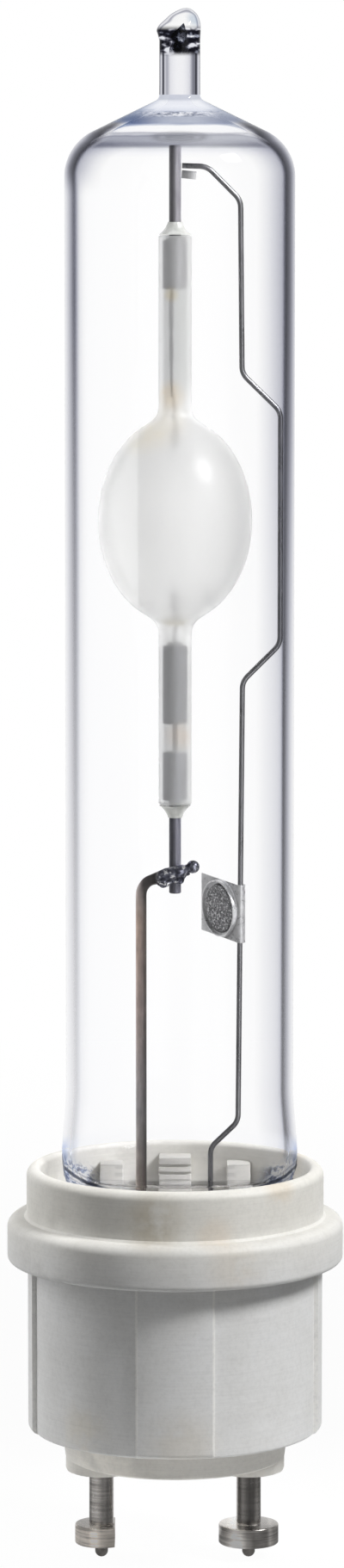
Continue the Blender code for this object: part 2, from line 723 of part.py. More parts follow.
def make_arc_tube():
    """The translucent vessel with its two tubular ends, open from end to end for the leads."""
    outer = arc_half(0.0, PLUG_RADIUS)
    inner = arc_half(ARC_WALL, PLUG_BORE_RADIUS)
    chamfer = PLUG_RADIUS * 0.08
    outline = [(PLUG_BORE_RADIUS, UPPER_PLUG_END), (PLUG_RADIUS - chamfer, UPPER_PLUG_END)]
    outline.append((PLUG_RADIUS, UPPER_PLUG_END - chamfer))
    outline += [(r, ARC_CENTRE + z) for r, z in reversed(outer)]
    outline += [(r, ARC_CENTRE - z) for r, z in outer[1:]]
    outline += [(PLUG_RADIUS, LOWER_PLUG_END + chamfer), (PLUG_RADIUS - chamfer, LOWER_PLUG_END)]
    outline.append((PLUG_BORE_RADIUS, LOWER_PLUG_END))
    outline += [(r, ARC_CENTRE - z) for r, z in reversed(inner)]
    outline += [(r, ARC_CENTRE + z) for r, z in inner[1:]]
    return turned("arc_tube", outline, ARC_SIDES, material("alumina", (0.86, 0.86, 0.83), 0.35), closed=True)


def make_frit(name, end, way):
    """The glassy cone that seals a lead into a tubular end. way is 1 above the vessel and -1 below."""
    foot = end + way * FIT_GAP
    inner = NIOBIUM_RADIUS + FIT_GAP
    outline = [
        (inner, foot),
        (PLUG_RADIUS * 0.96, foot),
        (PLUG_RADIUS * 0.90, foot + way * 0.25 * FRIT_HEIGHT),
        (PLUG_RADIUS * 0.68, foot + way * 0.55 * FRIT_HEIGHT),
        (FRIT_TIP_RADIUS, foot + way * FRIT_HEIGHT),
        (inner, foot + way * FRIT_HEIGHT),
    ]
    return turned(name, outline, PIN_SIDES, material("frit_glass", (0.72, 0.74, 0.66), 0.3), closed=True)


def make_feed(way):
    """One end's lead, feedthrough, electrode and coil, in a row along the axis."""
    place = "upper" if way > 0 else "lower"
    end = UPPER_PLUG_END if way > 0 else LOWER_PLUG_END
    reach = UPPER_NIOBIUM_REACH if way > 0 else LOWER_NIOBIUM_REACH
    make_frit(f"frit_seal_{place}", end, way)
    lead_end = end + way * reach
    lead_start = end - way * NIOBIUM_DEPTH
    rod = [(0.0, 0.0, lead_end), (0.0, 0.0, lead_start)]
    tube(f"niobium_lead_{place}", rod, NIOBIUM_RADIUS, material("niobium", (0.30, 0.28, 0.31), 0.35, 1.0))
    feed_start = lead_start - way * FIT_GAP
    feed_end = ARC_CENTRE + way * (NECK_HEIGHT + FEEDTHROUGH_SETBACK)
    rod = [(0.0, 0.0, feed_start), (0.0, 0.0, feed_end)]
    molybdenum = material("molybdenum", (0.45, 0.45, 0.47), 0.35, 1.0)
    tube(f"feedthrough_rod_{place}", rod, FEEDTHROUGH_RADIUS, molybdenum)
    electrode_start = feed_end - way * FIT_GAP
    electrode_tip = ARC_CENTRE + way * ELECTRODE_TIP
    tungsten = material("tungsten", (0.35, 0.35, 0.36), 0.4, 1.0)
    rod = [(0.0, 0.0, electrode_start), (0.0, 0.0, electrode_tip)]
    tube(f"electrode_rod_{place}", rod, ELECTRODE_RADIUS, tungsten)
    radius = ELECTRODE_RADIUS + FIT_GAP + COIL_WIRE_RADIUS
    pitch = 2.0 * COIL_WIRE_RADIUS + FIT_GAP
    per_turn = 8
    helix = []
    for i in range(COIL_TURNS * per_turn + 1):
        angle = 2.0 * math.pi * i / per_turn
        height = electrode_tip + way * (COIL_SETBACK + pitch * i / per_turn)
        helix.append((radius * math.cos(angle), radius * math.sin(angle), height))
    tube(f"electrode_coil_{place}", helix, COIL_WIRE_RADIUS, tungsten, sides=4)


def make_support_lead():
    """The thick lead: up from its foil, bent over and welded in front of the lower niobium lead."""
    weld_y = -(NIOBIUM_RADIUS + SUPPORT_RADIUS + FIT_GAP)
    knob = Vector((SUPPORT_KNOB_X, weld_y, SUPPORT_CROSSING + SUPPORT_ARM_SLOPE * SUPPORT_KNOB_X))
    cross = Vector((0.0, weld_y, SUPPORT_CROSSING))
    elbow_x = FOIL_LEFT_X + 1.1 * SUPPORT_RADIUS
    elbow = Vector((elbow_x, 0.35 * weld_y, SUPPORT_CROSSING + SUPPORT_ARM_SLOPE * elbow_x))
    corners = [
        (FOIL_LEFT_X, 0.0, FOIL_TOP - FOIL_OVERLAP),
        (FOIL_LEFT_X, 0.0, SUPPORT_BEND),
        elbow,
        cross,
        knob,
    ]
    path = rounded_path(corners, 2.5 * SUPPORT_RADIUS, 3)
    swell = [1.0] * len(path)
    heading = (knob - cross).normalized()
    full = SUPPORT_KNOB_RADIUS / SUPPORT_RADIUS
    last = path.pop()
    swell.pop()
    path.append(last - heading * 1.3 * SUPPORT_KNOB_RADIUS)
    swell.append(0.88)
    for angle in (-40.0, 0.0, 35.0, 60.0, 80.0):
        along = SUPPORT_KNOB_RADIUS * math.sin(math.radians(angle))
        path.append(last + heading * along)
        swell.append(full * math.cos(math.radians(angle)))
    finish = material("blued_steel", (0.26, 0.23, 0.22), 0.45, 1.0)
    return tube("support_lead", path, SUPPORT_RADIUS, finish, swell=swell)


def make_frame_wire():
    """The return wire: from its foil up past the vessel, bowed out round it, and over to the upper lead."""
    corners = [
        (FOIL_RIGHT_X, 0.0, FOIL_TOP - FOIL_OVERLAP),
        (FOIL_RIGHT_X, 0.0, NECK_TOP + FRAME_FOOT_RISE),
        (FRAME_LOW_X, 0.0, RUN_BOTTOM),
        (FRAME_INNER_X + FRAME_LEAN, 0.0, RUN_TOP),
        (FRAME_OUTER_X, 0.0, BOW_BOTTOM),
        (FRAME_OUTER_X, 0.0, BOW_TOP),
        (FRAME_INNER_X, 0.0, BOW_TOP + BOW_STEP),
        (FRAME_INNER_X - FRAME_LEAN / 2.0, 0.0, FRAME_WELD - FRAME_ELBOW_DROP),
        (FRAME_ELBOW_X, 0.0, FRAME_WELD),
        (NIOBIUM_RADIUS + FIT_GAP, 0.0, FRAME_WELD),
    ]
    finish = material("frame_steel", (0.38, 0.38, 0.40), 0.35, 1.0)
    return tube("frame_wire", rounded_path(corners, FRAME_BEND_RADIUS), FRAME_RADIUS, finish)


def make_weld_strip():
    """The small bright strip that bridges wire and lead under the upper weld."""
    strip = block(
        "weld_strip",
        (0.0, -STRIP_THICKNESS / 2.0, -STRIP_WIDTH),
        (STRIP_LENGTH, STRIP_THICKNESS / 2.0, 0.0),
        material("bright_strip", (0.62, 0.62, 0.63), 0.3, 1.0),
    )
    strip.location = (NIOBIUM_RADIUS + FIT_GAP, 0.0, FRAME_WELD - FRAME_RADIUS - FIT_GAP)
    strip.rotation_euler.y = math.radians(STRIP_DROOP)
    return strip


def frame_wire_x(height):
    """The x of the wire's long lower run at a height."""
    share = (height - RUN_BOTTOM) / (RUN_TOP - RUN_BOTTOM)
    return FRAME_LOW_X + (FRAME_INNER_X + FRAME_LEAN - FRAME_LOW_X) * share


def placed_getter(made):
    """Place a getter piece: local x runs from the wire to the free edge, which stands a little higher."""
    for corner in made.data.vertices:
        corner.co.z += GETTER_SHEAR * corner.co.x / GETTER_WIDTH
    made.location = (frame_wire_x(GETTER_HEIGHT), 0.0, GETTER_HEIGHT)
    made.rotation_euler.z = math.pi - math.radians(GETTER_TURN)
    return made


def faced_front(made):
    """Lay a turned getter piece on the plate: its axis becomes local y, at the plate's middle."""
    middle = GETTER_WIDTH - GETTER_RING_RADIUS - 2.0 * GETTER_SHEET
    for corner in made.data.vertices:
        x, y, z = corner.co
        corner.co = (middle + x, z, y)
    made.data.flip_normals()
    return made


def make_getter():
    """A stamped plate with a raised ring round the pellet, folded round the frame wire, and the pellet."""
    clip_inner = FRAME_RADIUS + FIT_GAP
    clip_outer = clip_inner + GETTER_SHEET
    half_tall = GETTER_TALL / 2.0
    steel = material("getter_steel", (0.55, 0.54, 0.55), 0.3, 1.0)
    fold = [math.radians(90.0 + 220.0 * i / 10) for i in range(11)]
    outline = [(GETTER_WIDTH, clip_inner), (GETTER_WIDTH, clip_outer)]
    outline += [(clip_outer * math.cos(a), clip_outer * math.sin(a)) for a in fold]
    outline += [(clip_inner * math.cos(a), clip_inner * math.sin(a)) for a in reversed(fold)]
    plate = placed_getter(prism("getter_plate", outline, -half_tall, half_tall, steel))
    inner = GETTER_RING_RADIUS - GETTER_RING_WALL
    low = clip_outer - GETTER_SHEET / 2.0
    high = clip_outer + GETTER_RING_RISE
    ring_outline = [(inner, low), (GETTER_RING_RADIUS, low), (GETTER_RING_RADIUS, high), (inner, high)]
    ring = turned("getter_ring", ring_outline, PIN_SIDES, closed=True)
    combine(plate, placed_getter(faced_front(ring)), "UNION")
    radius = inner - FIT_GAP
    seat = clip_outer + FIT_GAP
    pellet_outline = [
        (0.0, seat),
        (radius, seat),
        (radius, seat + 0.8 * PELLET_THICKNESS),
        (0.94 * radius, seat + PELLET_THICKNESS),
        (0.0, seat + PELLET_THICKNESS),
    ]
    powder = material("getter_powder", (0.12, 0.12, 0.13), 0.9)
    pellet = turned("getter_pellet", pellet_outline, PIN_SIDES, powder)
    placed_getter(faced_front(pellet))


def vessel_point(angle):
    """A point (r, z) on the vessel's inner wall below its centre, and the wall's inward normal."""
    wide = ARC_RADIUS - ARC_WALL
    tall = ARC_HALF_HEIGHT - ARC_WALL
    spot = Vector((wide * math.cos(angle), ARC_CENTRE - tall * math.sin(angle)))
    normal = Vector((-math.cos(angle) / wide, math.sin(angle) / tall)).normalized()
    return spot, normal


def inner_radius(drop):
    """The radius of the vessel's inner wall at a distance below its centre."""
    outline = arc_half(ARC_WALL, PLUG_BORE_RADIUS)
    for (r0, z0), (r1, z1) in zip(outline, outline[1:]):
        if z0 <= drop <= z1:
            return r0 + (r1 - r0) * (drop - z0) / (z1 - z0)
    return PLUG_BORE_RADIUS


def make_fill():
    """The cold fill: salts pooled in the lower neck round the electrode, a drop of mercury on the wall."""
    low = NECK_HEIGHT - SALT_LIFT
    high = low - SALT_HEIGHT
    hole = ELECTRODE_RADIUS + FIT_GAP
    outline = [
        (hole, ARC_CENTRE - low),
        (inner_radius(low) - FIT_GAP, ARC_CENTRE - low),
        (inner_radius(high) - FIT_GAP, ARC_CENTRE - high),
        (hole, ARC_CENTRE - high),
    ]
    turned("halide_salt", outline, PIN_SIDES, material("salt", (0.75, 0.66, 0.45), 0.6), closed=True)
    spot, normal = vessel_point(math.radians(MERCURY_ANGLE))
    centre = spot + normal * (MERCURY_RADIUS + FIT_GAP)
    work = bmesh.new()
    bmesh.ops.create_icosphere(work, subdivisions=2, radius=MERCURY_RADIUS)
    drop = finish_mesh("mercury_drop", work, material("mercury", (0.75, 0.75, 0.77), 0.08, 1.0))
    drop.location = (centre.x, 0.0, centre.y)


def remove_everything():
    """Start from an empty scene."""
    for old in list(bpy.data.objects):
        bpy.data.objects.remove(old, do_unlink=True)


def main():
    remove_everything()
    make_base()
    make_pins()
    make_outer_lead("outer_lead_left", -1, FOIL_LEFT_X)
    make_outer_lead("outer_lead_right", 1, FOIL_RIGHT_X)
    make_foil("seal_foil_left", FOIL_LEFT_X, SUPPORT_RADIUS)
    make_foil("seal_foil_right", FOIL_RIGHT_X, FRAME_RADIUS)
    make_bulb()
    make_cement()
    make_arc_tube()
    make_feed(1)
    make_feed(-1)
    make_support_lead()
    make_frame_wire()
    make_weld_strip()
    make_getter()
    make_fill()


main()
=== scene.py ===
import math

import bpy
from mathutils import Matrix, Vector, noise


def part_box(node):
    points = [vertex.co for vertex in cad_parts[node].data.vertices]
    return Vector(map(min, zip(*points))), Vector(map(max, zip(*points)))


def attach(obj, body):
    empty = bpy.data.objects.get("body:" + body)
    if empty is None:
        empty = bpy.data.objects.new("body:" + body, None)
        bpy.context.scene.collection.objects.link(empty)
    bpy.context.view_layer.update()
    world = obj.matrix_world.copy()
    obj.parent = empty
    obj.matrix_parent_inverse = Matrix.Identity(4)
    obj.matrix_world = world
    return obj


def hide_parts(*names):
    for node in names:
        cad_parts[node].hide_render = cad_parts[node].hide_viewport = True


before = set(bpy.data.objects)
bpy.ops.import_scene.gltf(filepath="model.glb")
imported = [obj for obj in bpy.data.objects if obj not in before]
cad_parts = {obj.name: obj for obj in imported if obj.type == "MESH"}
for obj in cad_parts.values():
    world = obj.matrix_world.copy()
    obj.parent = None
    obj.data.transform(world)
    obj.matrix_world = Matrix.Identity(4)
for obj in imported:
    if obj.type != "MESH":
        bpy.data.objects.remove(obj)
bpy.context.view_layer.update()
print("frame loaded:", len(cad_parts), "nodes")


# shaping helpers
def clearSelection():
    if bpy.context.object and bpy.context.object.mode == "EDIT":
        bpy.ops.object.mode_set(mode="OBJECT")
    bpy.ops.object.select_all(action="DESELECT")


def selectOnly(piece):
    clearSelection()
    piece.select_set(True)
    bpy.context.view_layer.objects.active = piece


def finishPiece(piece, smoothAngle=35.0, recalc=True):
    selectOnly(piece)
    if recalc:
        bpy.ops.object.mode_set(mode="EDIT")
        bpy.ops.mesh.select_all(action="SELECT")
        bpy.ops.mesh.remove_doubles(threshold=1e-7)
        bpy.ops.mesh.normals_make_consistent(inside=False)
        bpy.ops.object.mode_set(mode="OBJECT")
    bpy.ops.object.transform_apply(location=True, rotation=True, scale=True)
    bpy.ops.object.shade_smooth_by_angle(angle=math.radians(smoothAngle))
    clearSelection()
    return piece


def ringPiece(name, rings, sides, closed=False, smoothAngle=35.0):
    # rings are (height, half width in x, half depth in y, centre in x); each is extruded from the one before
    clearSelection()
    height, wide, deep, centre = rings[0]
    bpy.ops.mesh.primitive_circle_add(
        vertices=sides, radius=1.0, location=(centre, 0.0, height), scale=(wide, deep, 1.0),
        fill_type="NOTHING",
    )
    piece = bpy.context.object
    piece.name = name
    piece.scale = (wide, deep, 1.0)
    bpy.ops.object.transform_apply(location=True, rotation=True, scale=True)
    bpy.ops.object.mode_set(mode="EDIT")
    bpy.ops.mesh.select_all(action="SELECT")
    for newHeight, newWide, newDeep, newCentre in rings[1:]:
        step = (newCentre - centre, 0.0, newHeight - height)
        bpy.ops.mesh.extrude_region_move(TRANSFORM_OT_translate={"value": step})
        grow = (newWide / wide, newDeep / deep, 1.0)
        bpy.ops.transform.resize(value=grow, center_override=(newCentre, 0.0, newHeight))
        height, wide, deep, centre = newHeight, newWide, newDeep, newCentre
    bpy.ops.mesh.select_all(action="SELECT")
    bpy.ops.mesh.remove_doubles(threshold=1e-7)
    if not closed:
        bpy.ops.mesh.select_all(action="DESELECT")
        bpy.ops.mesh.select_non_manifold()
        bpy.ops.mesh.fill_holes(sides=0)
    bpy.ops.object.mode_set(mode="OBJECT")
    return finishPiece(piece, smoothAngle)


def turnedPiece(name, outline, sides=96, centre=0.0, closed=False, smoothAngle=35.0):
    rings = roundRings([(height, max(radius, 1e-5)) for radius, height in outline], centre)
    return ringPiece(name, rings, sides, closed, smoothAngle)


def roundRings(outline, centre):
    return [(height, radius, radius, centre) for height, radius in outline]


def arcPoints(centre, radius, start, end, steps):
    angles = [math.radians(start + (end - start) * i / steps) for i in range(steps + 1)]
    return [(centre[0] + radius * math.cos(a), centre[1] + radius * math.sin(a)) for a in angles]


def splineAt(p, q, r, s, t):
    # Catmull-Rom from q to r
    square, cube = 2 * p - 5 * q + 4 * r - s, 3 * q - p - 3 * r + s
    return 0.5 * (2 * q + (r - p) * t + square * t * t + cube * t ** 3)


def smoothRings(rings, steps):
    made = []
    for i in range(len(rings) - 1):
        a = rings[max(i - 1, 0)]
        b, c = rings[i], rings[i + 1]
        d = rings[min(i + 2, len(rings) - 1)]
        for k in range(steps):
            made.append(tuple(splineAt(*four, k / steps) for four in zip(a, b, c, d)))
    made.append(rings[-1])
    return made


def boxPiece(name, low, high, bevel=0.0, segments=3):
    clearSelection()
    middle = [(a + b) / 2 for a, b in zip(low, high)]
    bpy.ops.mesh.primitive_cube_add(size=1.0, location=middle)
    piece = bpy.context.object
    piece.name = name
    piece.scale = [b - a for a, b in zip(low, high)]
    bpy.ops.object.transform_apply(location=True, rotation=True, scale=True)
    if bevel:
        bpy.ops.object.mode_set(mode="EDIT")
        bpy.ops.mesh.select_all(action="SELECT")
        bpy.ops.mesh.bevel(offset=bevel, segments=segments, affect="EDGES")
        bpy.ops.object.mode_set(mode="OBJECT")
    return piece


def combine(target, tool, operation):
    selectOnly(target)
    step = target.modifiers.new("joinStep", "BOOLEAN")
    step.operation = operation
    step.solver = "EXACT"
    step.object = tool
    bpy.ops.object.modifier_apply(modifier=step.name)
    bpy.data.objects.remove(tool, do_unlink=True)


def roundedPath(corners, reach, steps=8):
    path = [Vector(corners[0])]
    for before, corner, after in zip(corners, corners[1:], corners[2:]):
        before, corner, after = Vector(before), Vector(corner), Vector(after)
        cut = min(reach, 0.45 * (corner - before).length, 0.45 * (after - corner).length)
        first = corner + (before - corner).normalized() * cut
        last = corner + (after - corner).normalized() * cut
        for i in range(steps + 1):
            t = i / steps
            path.append((1 - t) ** 2 * first + 2 * t * (1 - t) * corner + t * t * last)
    path.append(Vector(corners[-1]))
    return path


def wirePiece(name, path, radius, swell=None, rounds=5):
    clearSelection()
    bpy.ops.curve.primitive_bezier_curve_add(location=(0.0, 0.0, 0.0))
    piece = bpy.context.object
    piece.name = name
    curve = piece.data
    curve.splines.clear()
    spline = curve.splines.new("POLY")
    spline.points.add(len(path) - 1)
    for i, point in enumerate(path):
        spline.points[i].co = (point[0], point[1], point[2], 1.0)
        spline.points[i].radius = swell[i] if swell else 1.0
    curve.dimensions = "3D"
    curve.bevel_depth = radius
    curve.bevel_resolution = rounds
    curve.use_fill_caps = True
    bpy.ops.object.convert(target="MESH")
    return finishPiece(bpy.context.object, 60.0)


def dress(piece, slotName, material, *replaced):
    piece.data.materials.clear()
    for one in material if isinstance(material, (list, tuple)) else [material]:
        piece.data.materials.append(one)
    if replaced:
        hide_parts(*replaced)
    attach(piece, "root")


# material helpers
def startMaterial(name):
    made = bpy.data.materials.new(name)
    made.use_nodes = True
    return made, made.node_tree, made.node_tree.nodes["Principled BSDF"]


def objectPoint(tree, scale=(1.0, 1.0, 1.0)):
    coords = tree.nodes.new("ShaderNodeTexCoord")
    mapping = tree.nodes.new("ShaderNodeMapping")
    mapping.inputs["Scale"].default_value = scale
    tree.links.new(coords.outputs["Object"], mapping.inputs["Vector"])
    return mapping.outputs["Vector"]


def axesOf(tree, vector):
    split = tree.nodes.new("ShaderNodeSeparateXYZ")
    tree.links.new(vector, split.inputs[0])
    return split.outputs


def noiseOf(tree, vector, scale, detail=4.0, roughness=0.55):
    noise = tree.nodes.new("ShaderNodeTexNoise")
    noise.inputs["Scale"].default_value = scale
    noise.inputs["Detail"].default_value = detail
    noise.inputs["Roughness"].default_value = roughness
    tree.links.new(vector, noise.inputs["Vector"])
    return noise.outputs["Fac"]


def rampOf(tree, source, stops):
    ramp = tree.nodes.new("ShaderNodeValToRGB")
    while len(ramp.color_ramp.elements) < len(stops):
        ramp.color_ramp.elements.new(0.5)
    for element, (place, colour) in zip(ramp.color_ramp.elements, stops):
        element.position = place
        element.color = (*colour, 1.0) if isinstance(colour, (tuple, list)) else (colour, colour, colour, 1.0)
    tree.links.new(source, ramp.inputs["Fac"])
    return ramp.outputs["Color"]


def mixOf(tree, factor, first, second, blend="MIX"):
    mix = tree.nodes.new("ShaderNodeMix")
    mix.data_type = "RGBA"
    mix.blend_type = blend
    for socket, value in (
        (mix.inputs["Factor"], factor), (mix.inputs["A"], first), (mix.inputs["B"], second),
    ):
        if isinstance(value, bpy.types.NodeSocket):
            tree.links.new(value, socket)
        elif isinstance(value, (tuple, list)):
            socket.default_value = (*value, 1.0)
        elif socket.type == "RGBA":
            socket.default_value = (value, value, value, 1.0)
        else:
            socket.default_value = value
    return mix.outputs["Result"]


def tinted(tree, tone, tint, factor=1.0):
    return mixOf(tree, factor, tone, tint, "MULTIPLY")


def mathOf(tree, operation, first, second=0.0):
    step = tree.nodes.new("ShaderNodeMath")
    step.operation = operation
    for socket, value in zip(step.inputs, (first, second)):
        if isinstance(value, bpy.types.NodeSocket):
            tree.links.new(value, socket)
        else:
            socket.default_value = value
    return step.outputs["Value"]


def times(tree, first, *others):
    for other in others:
        first = mathOf(tree, "MULTIPLY", first, other)
    return first


def plus(tree, first, second):
    return mathOf(tree, "ADD", first, second)


def minus(tree, first, second):
    return mathOf(tree, "SUBTRACT", first, second)


def apart(tree, first, second):
    return mathOf(tree, "ABSOLUTE", minus(tree, first, second))


def lengthOf(tree, first, second):
    return mathOf(tree, "SQRT", plus(tree, times(tree, first, first), times(tree, second, second)))


def rangeOf(tree, source, fromLow, fromHigh, toLow=0.0, toHigh=1.0, kind="SMOOTHSTEP"):
    step = tree.nodes.new("ShaderNodeMapRange")
    step.interpolation_type = kind
    for name, value in (("From Min", fromLow), ("From Max", fromHigh), ("To Min", toLow), ("To Max", toHigh)):
        step.inputs[name].default_value = value
    tree.links.new(source, step.inputs["Value"])
    return step.outputs["Result"]


def bumpOf(tree, shader, height, strength, distance):
    bump = tree.nodes.new("ShaderNodeBump")
    bump.inputs["Strength"].default_value = strength
    bump.inputs["Distance"].default_value = distance
    tree.links.new(height, bump.inputs["Height"])
    tree.links.new(bump.outputs["Normal"], shader.inputs["Normal"])


def bandOf(tree, source, rise, fall):
    # 1 between the two ranges, 0 outside them
    return times(tree, rangeOf(tree, source, *rise), rangeOf(tree, source, *fall))


def vectorOf(tree, operation, vector, other=None):
    step = tree.nodes.new("ShaderNodeVectorMath")
    step.operation = operation
    if other is not None:
        step.inputs[1].default_value = other
    tree.links.new(vector, step.inputs[0])
    return step.outputs["Vector" if operation == "NORMALIZE" else "Value"]


def spotOf(tree, vector, place, size):
    # 1 at a place on the piece, falling to 0 at a distance
    return rangeOf(tree, vectorOf(tree, "DISTANCE", vector, place), size, 0.2 * size)


def patchTone(tree, tone, point, cloud, stainsAndLight, patch):
    # soft patches of another tint, broken up by the cloud: stains, and painted light where the tint is above
    # 1
    for place, size, tint in stainsAndLight:
        tone = tinted(
            tree, tone, tint, times(tree, spotOf(tree, point, place, size), rangeOf(tree, cloud, *patch)),
        )
    return tone


def showMix(tree, factor, first, second):
    mix = tree.nodes.new("ShaderNodeMixShader")
    for value, socket in zip((factor, first, second), mix.inputs):
        tree.links.new(value, socket)
    tree.links.new(mix.outputs[0], tree.nodes["Material Output"].inputs["Surface"])


# camera and studio
cameraPlan = {"pitch": 6.6, "distance": 0.653, "aim": (-0.00037, 0.0, 0.0824), "lens": 124.48, "sensor": 36.0}


def setCamera(plan):
    lean = math.radians(plan["pitch"])
    x, y, z = plan["aim"]
    place = (x, y - plan["distance"] * math.cos(lean), z + plan["distance"] * math.sin(lean))
    bpy.ops.object.camera_add(location=place, rotation=(math.radians(90.0) - lean, 0.0, 0.0))
    camera = bpy.context.object
    camera.name = "photoCamera"
    camera.data.sensor_fit = "VERTICAL"
    camera.data.sensor_height = plan["sensor"]
    camera.data.lens = plan["lens"]
    camera.data.clip_start = 0.01
    bpy.context.scene.camera = camera


lampPlan = {
    "key": {
        "azimuth": 62.0, "elevation": 43.0, "distance": 0.9, "size": (0.22, 0.22), "power": 8.6,
        "mirrored": True,
    },
    "fill": {
        "azimuth": -25.0, "elevation": 15.0, "distance": 1.0, "size": (0.6, 0.9), "power": 0.3,
        "mirrored": False,
    },
    "rim": {
        "azimuth": -115.0, "elevation": 15.0, "distance": 0.9, "size": (0.25, 0.9), "power": 8.4,
        "mirrored": False,
    },
    "back": {
        "azimuth": 165.0, "elevation": 35.0, "distance": 1.0, "size": (0.6, 0.6), "power": 1.5,
        "mirrored": False,
    },
}


def setLamps(plan):
    aim = Vector((0.0, 0.0, 0.06))
    for name, lamp in plan.items():
        turn = math.radians(lamp["azimuth"])
        rise = math.radians(lamp["elevation"])
        way = Vector((math.sin(turn) * math.cos(rise), -math.cos(turn) * math.cos(rise), math.sin(rise)))
        place = aim + way * lamp["distance"]
        bpy.ops.object.light_add(type="AREA", location=place, rotation=way.to_track_quat("Z", "Y").to_euler())
        light = bpy.context.object
        light.name = name + "Lamp"
        light.data.shape = "RECTANGLE"
        light.data.size, light.data.size_y = lamp["size"]
        light.data.energy = lamp["power"]
        light.visible_glossy = lamp["mirrored"]


def hideFromGlass(plan, glass):
    # the lamps that light the lamp from the left and from behind leave no streaks on its glass
    spared = bpy.data.collections.new("spared")
    spared.objects.link(glass)
    spared.collection_objects[0].light_linking.link_state = "EXCLUDE"
    for name, lamp in plan.items():
        if not lamp["mirrored"]:
            bpy.data.objects[name + "Lamp"].light_linking.receiver_collection = spared


worldPlan = {
    "overhead": 0.45,
    # from in front of the lamp round to behind it
    "mirrored": [(0.0, 0.34), (0.56, 0.3), (0.66, 0.17), (0.76, 0.17), (0.87, 0.9), (1.0, 1.0)],
    "window": (0.5, -0.85, 0.12), "windowTone": 1.5,
}


def mirroredTone(tree, heading):
    axes = axesOf(tree, heading)
    around = rampOf(tree, rangeOf(tree, axes["Y"], -1.0, 1.0, kind="LINEAR"), worldPlan["mirrored"])
    window = vectorOf(tree, "DOT_PRODUCT", heading, Vector(worldPlan["window"]).normalized())
    around = mixOf(tree, rangeOf(tree, window, 0.9, 0.97), around, worldPlan["windowTone"])
    return tinted(tree, around, rangeOf(tree, axes["Z"], 0.1, 0.7, 1.0, worldPlan["overhead"]))


def setWorld(plan):
    world = bpy.data.worlds.new("studio")
    world.use_nodes = True
    tree = world.node_tree
    tree.nodes.clear()
    output = tree.nodes.new("ShaderNodeOutputWorld")
    path = tree.nodes.new("ShaderNodeLightPath")
    coords = tree.nodes.new("ShaderNodeTexCoord")
    axes = axesOf(tree, coords.outputs["Generated"])
    rise = rangeOf(tree, axes["Z"], -1.0, 1.0, kind="LINEAR")
    room = rampOf(tree, rise, [
        (0.0, (0.9, 0.91, 0.94)),
        (0.35, (1.0, 1.0, 1.0)),
        (0.65, (1.0, 1.0, 1.0)),
        (1.0, (0.8, 0.83, 0.9)),
    ])
    soft = rampOf(tree, rise, [(0.0, 0.05), (0.5, 0.06), (0.64, 0.16), (1.0, 0.55)])
    mirrored = mirroredTone(tree, coords.outputs["Generated"])
    bounced = mathOf(tree, "GREATER_THAN", path.outputs["Glossy Depth"], 0.5)
    straight = mathOf(tree, "MAXIMUM", path.outputs["Is Camera Ray"], path.outputs["Is Transmission Ray"])
    scattered = mathOf(tree, "LESS_THAN", path.outputs["Diffuse Depth"], 0.5)
    straight = times(tree, straight, scattered)
    tone = mixOf(tree, path.outputs["Is Camera Ray"], room, (1.0, 1.0, 1.0))
    tone = mixOf(tree, straight, soft, tone)
    tone = mixOf(tree, bounced, tone, mirrored)
    light = tree.nodes.new("ShaderNodeBackground")
    tree.links.new(tone, light.inputs["Color"])
    tree.links.new(light.outputs[0], output.inputs["Surface"])
    bpy.context.scene.world = world


floorPlan = {"height": -0.01281, "size": 6.0, "glow": 0.97}


def makeFloor(plan):
    clearSelection()
    bpy.ops.mesh.primitive_plane_add(size=plan["size"], location=(0.0, 0.0, plan["height"]))
    floor = bpy.context.object
    floor.name = "studioFloor"
    bpy.ops.object.transform_apply(location=True, rotation=True, scale=True)
    made, tree, shader = startMaterial("paleFloor")
    shader.inputs["Roughness"].default_value = 0.9
    shader.inputs["Specular IOR Level"].default_value = 0.0
    glow = tree.nodes.new("ShaderNodeEmission")
    glow.inputs["Strength"].default_value = 1.0
    path = tree.nodes.new("ShaderNodeLightPath")
    bend = mathOf(tree, "MAXIMUM", path.outputs["Is Glossy Ray"], path.outputs["Is Transmission Ray"])
    bend = mathOf(tree, "MAXIMUM", bend, path.outputs["Is Camera Ray"])
    bounced = mathOf(tree, "GREATER_THAN", path.outputs["Glossy Depth"], 0.5)
    point = objectPoint(tree)
    mirrored = mirroredTone(tree, vectorOf(tree, "NORMALIZE", point))
    tree.links.new(mixOf(tree, bounced, (1.0, 1.0, 1.0), mirrored), glow.inputs["Color"])
    far = vectorOf(tree, "LENGTH", point)
    # grey only under the lamp
    tree.links.new(rampOf(tree, far, [(0.03, 0.85), (0.07, 0.1)]), shader.inputs["Base Color"])
    share = times(tree, bend, rangeOf(tree, far, 0.12, 0.4, plan["glow"], 1.0))
    showMix(tree, share, shader.outputs[0], glow.outputs[0])
    floor.data.materials.append(made)


setCamera(cameraPlan)
setLamps(lampPlan)
setWorld(worldPlan)
makeFloor(floorPlan)
bpy.context.scene.view_settings.view_transform = "Standard"
print("studio ready")


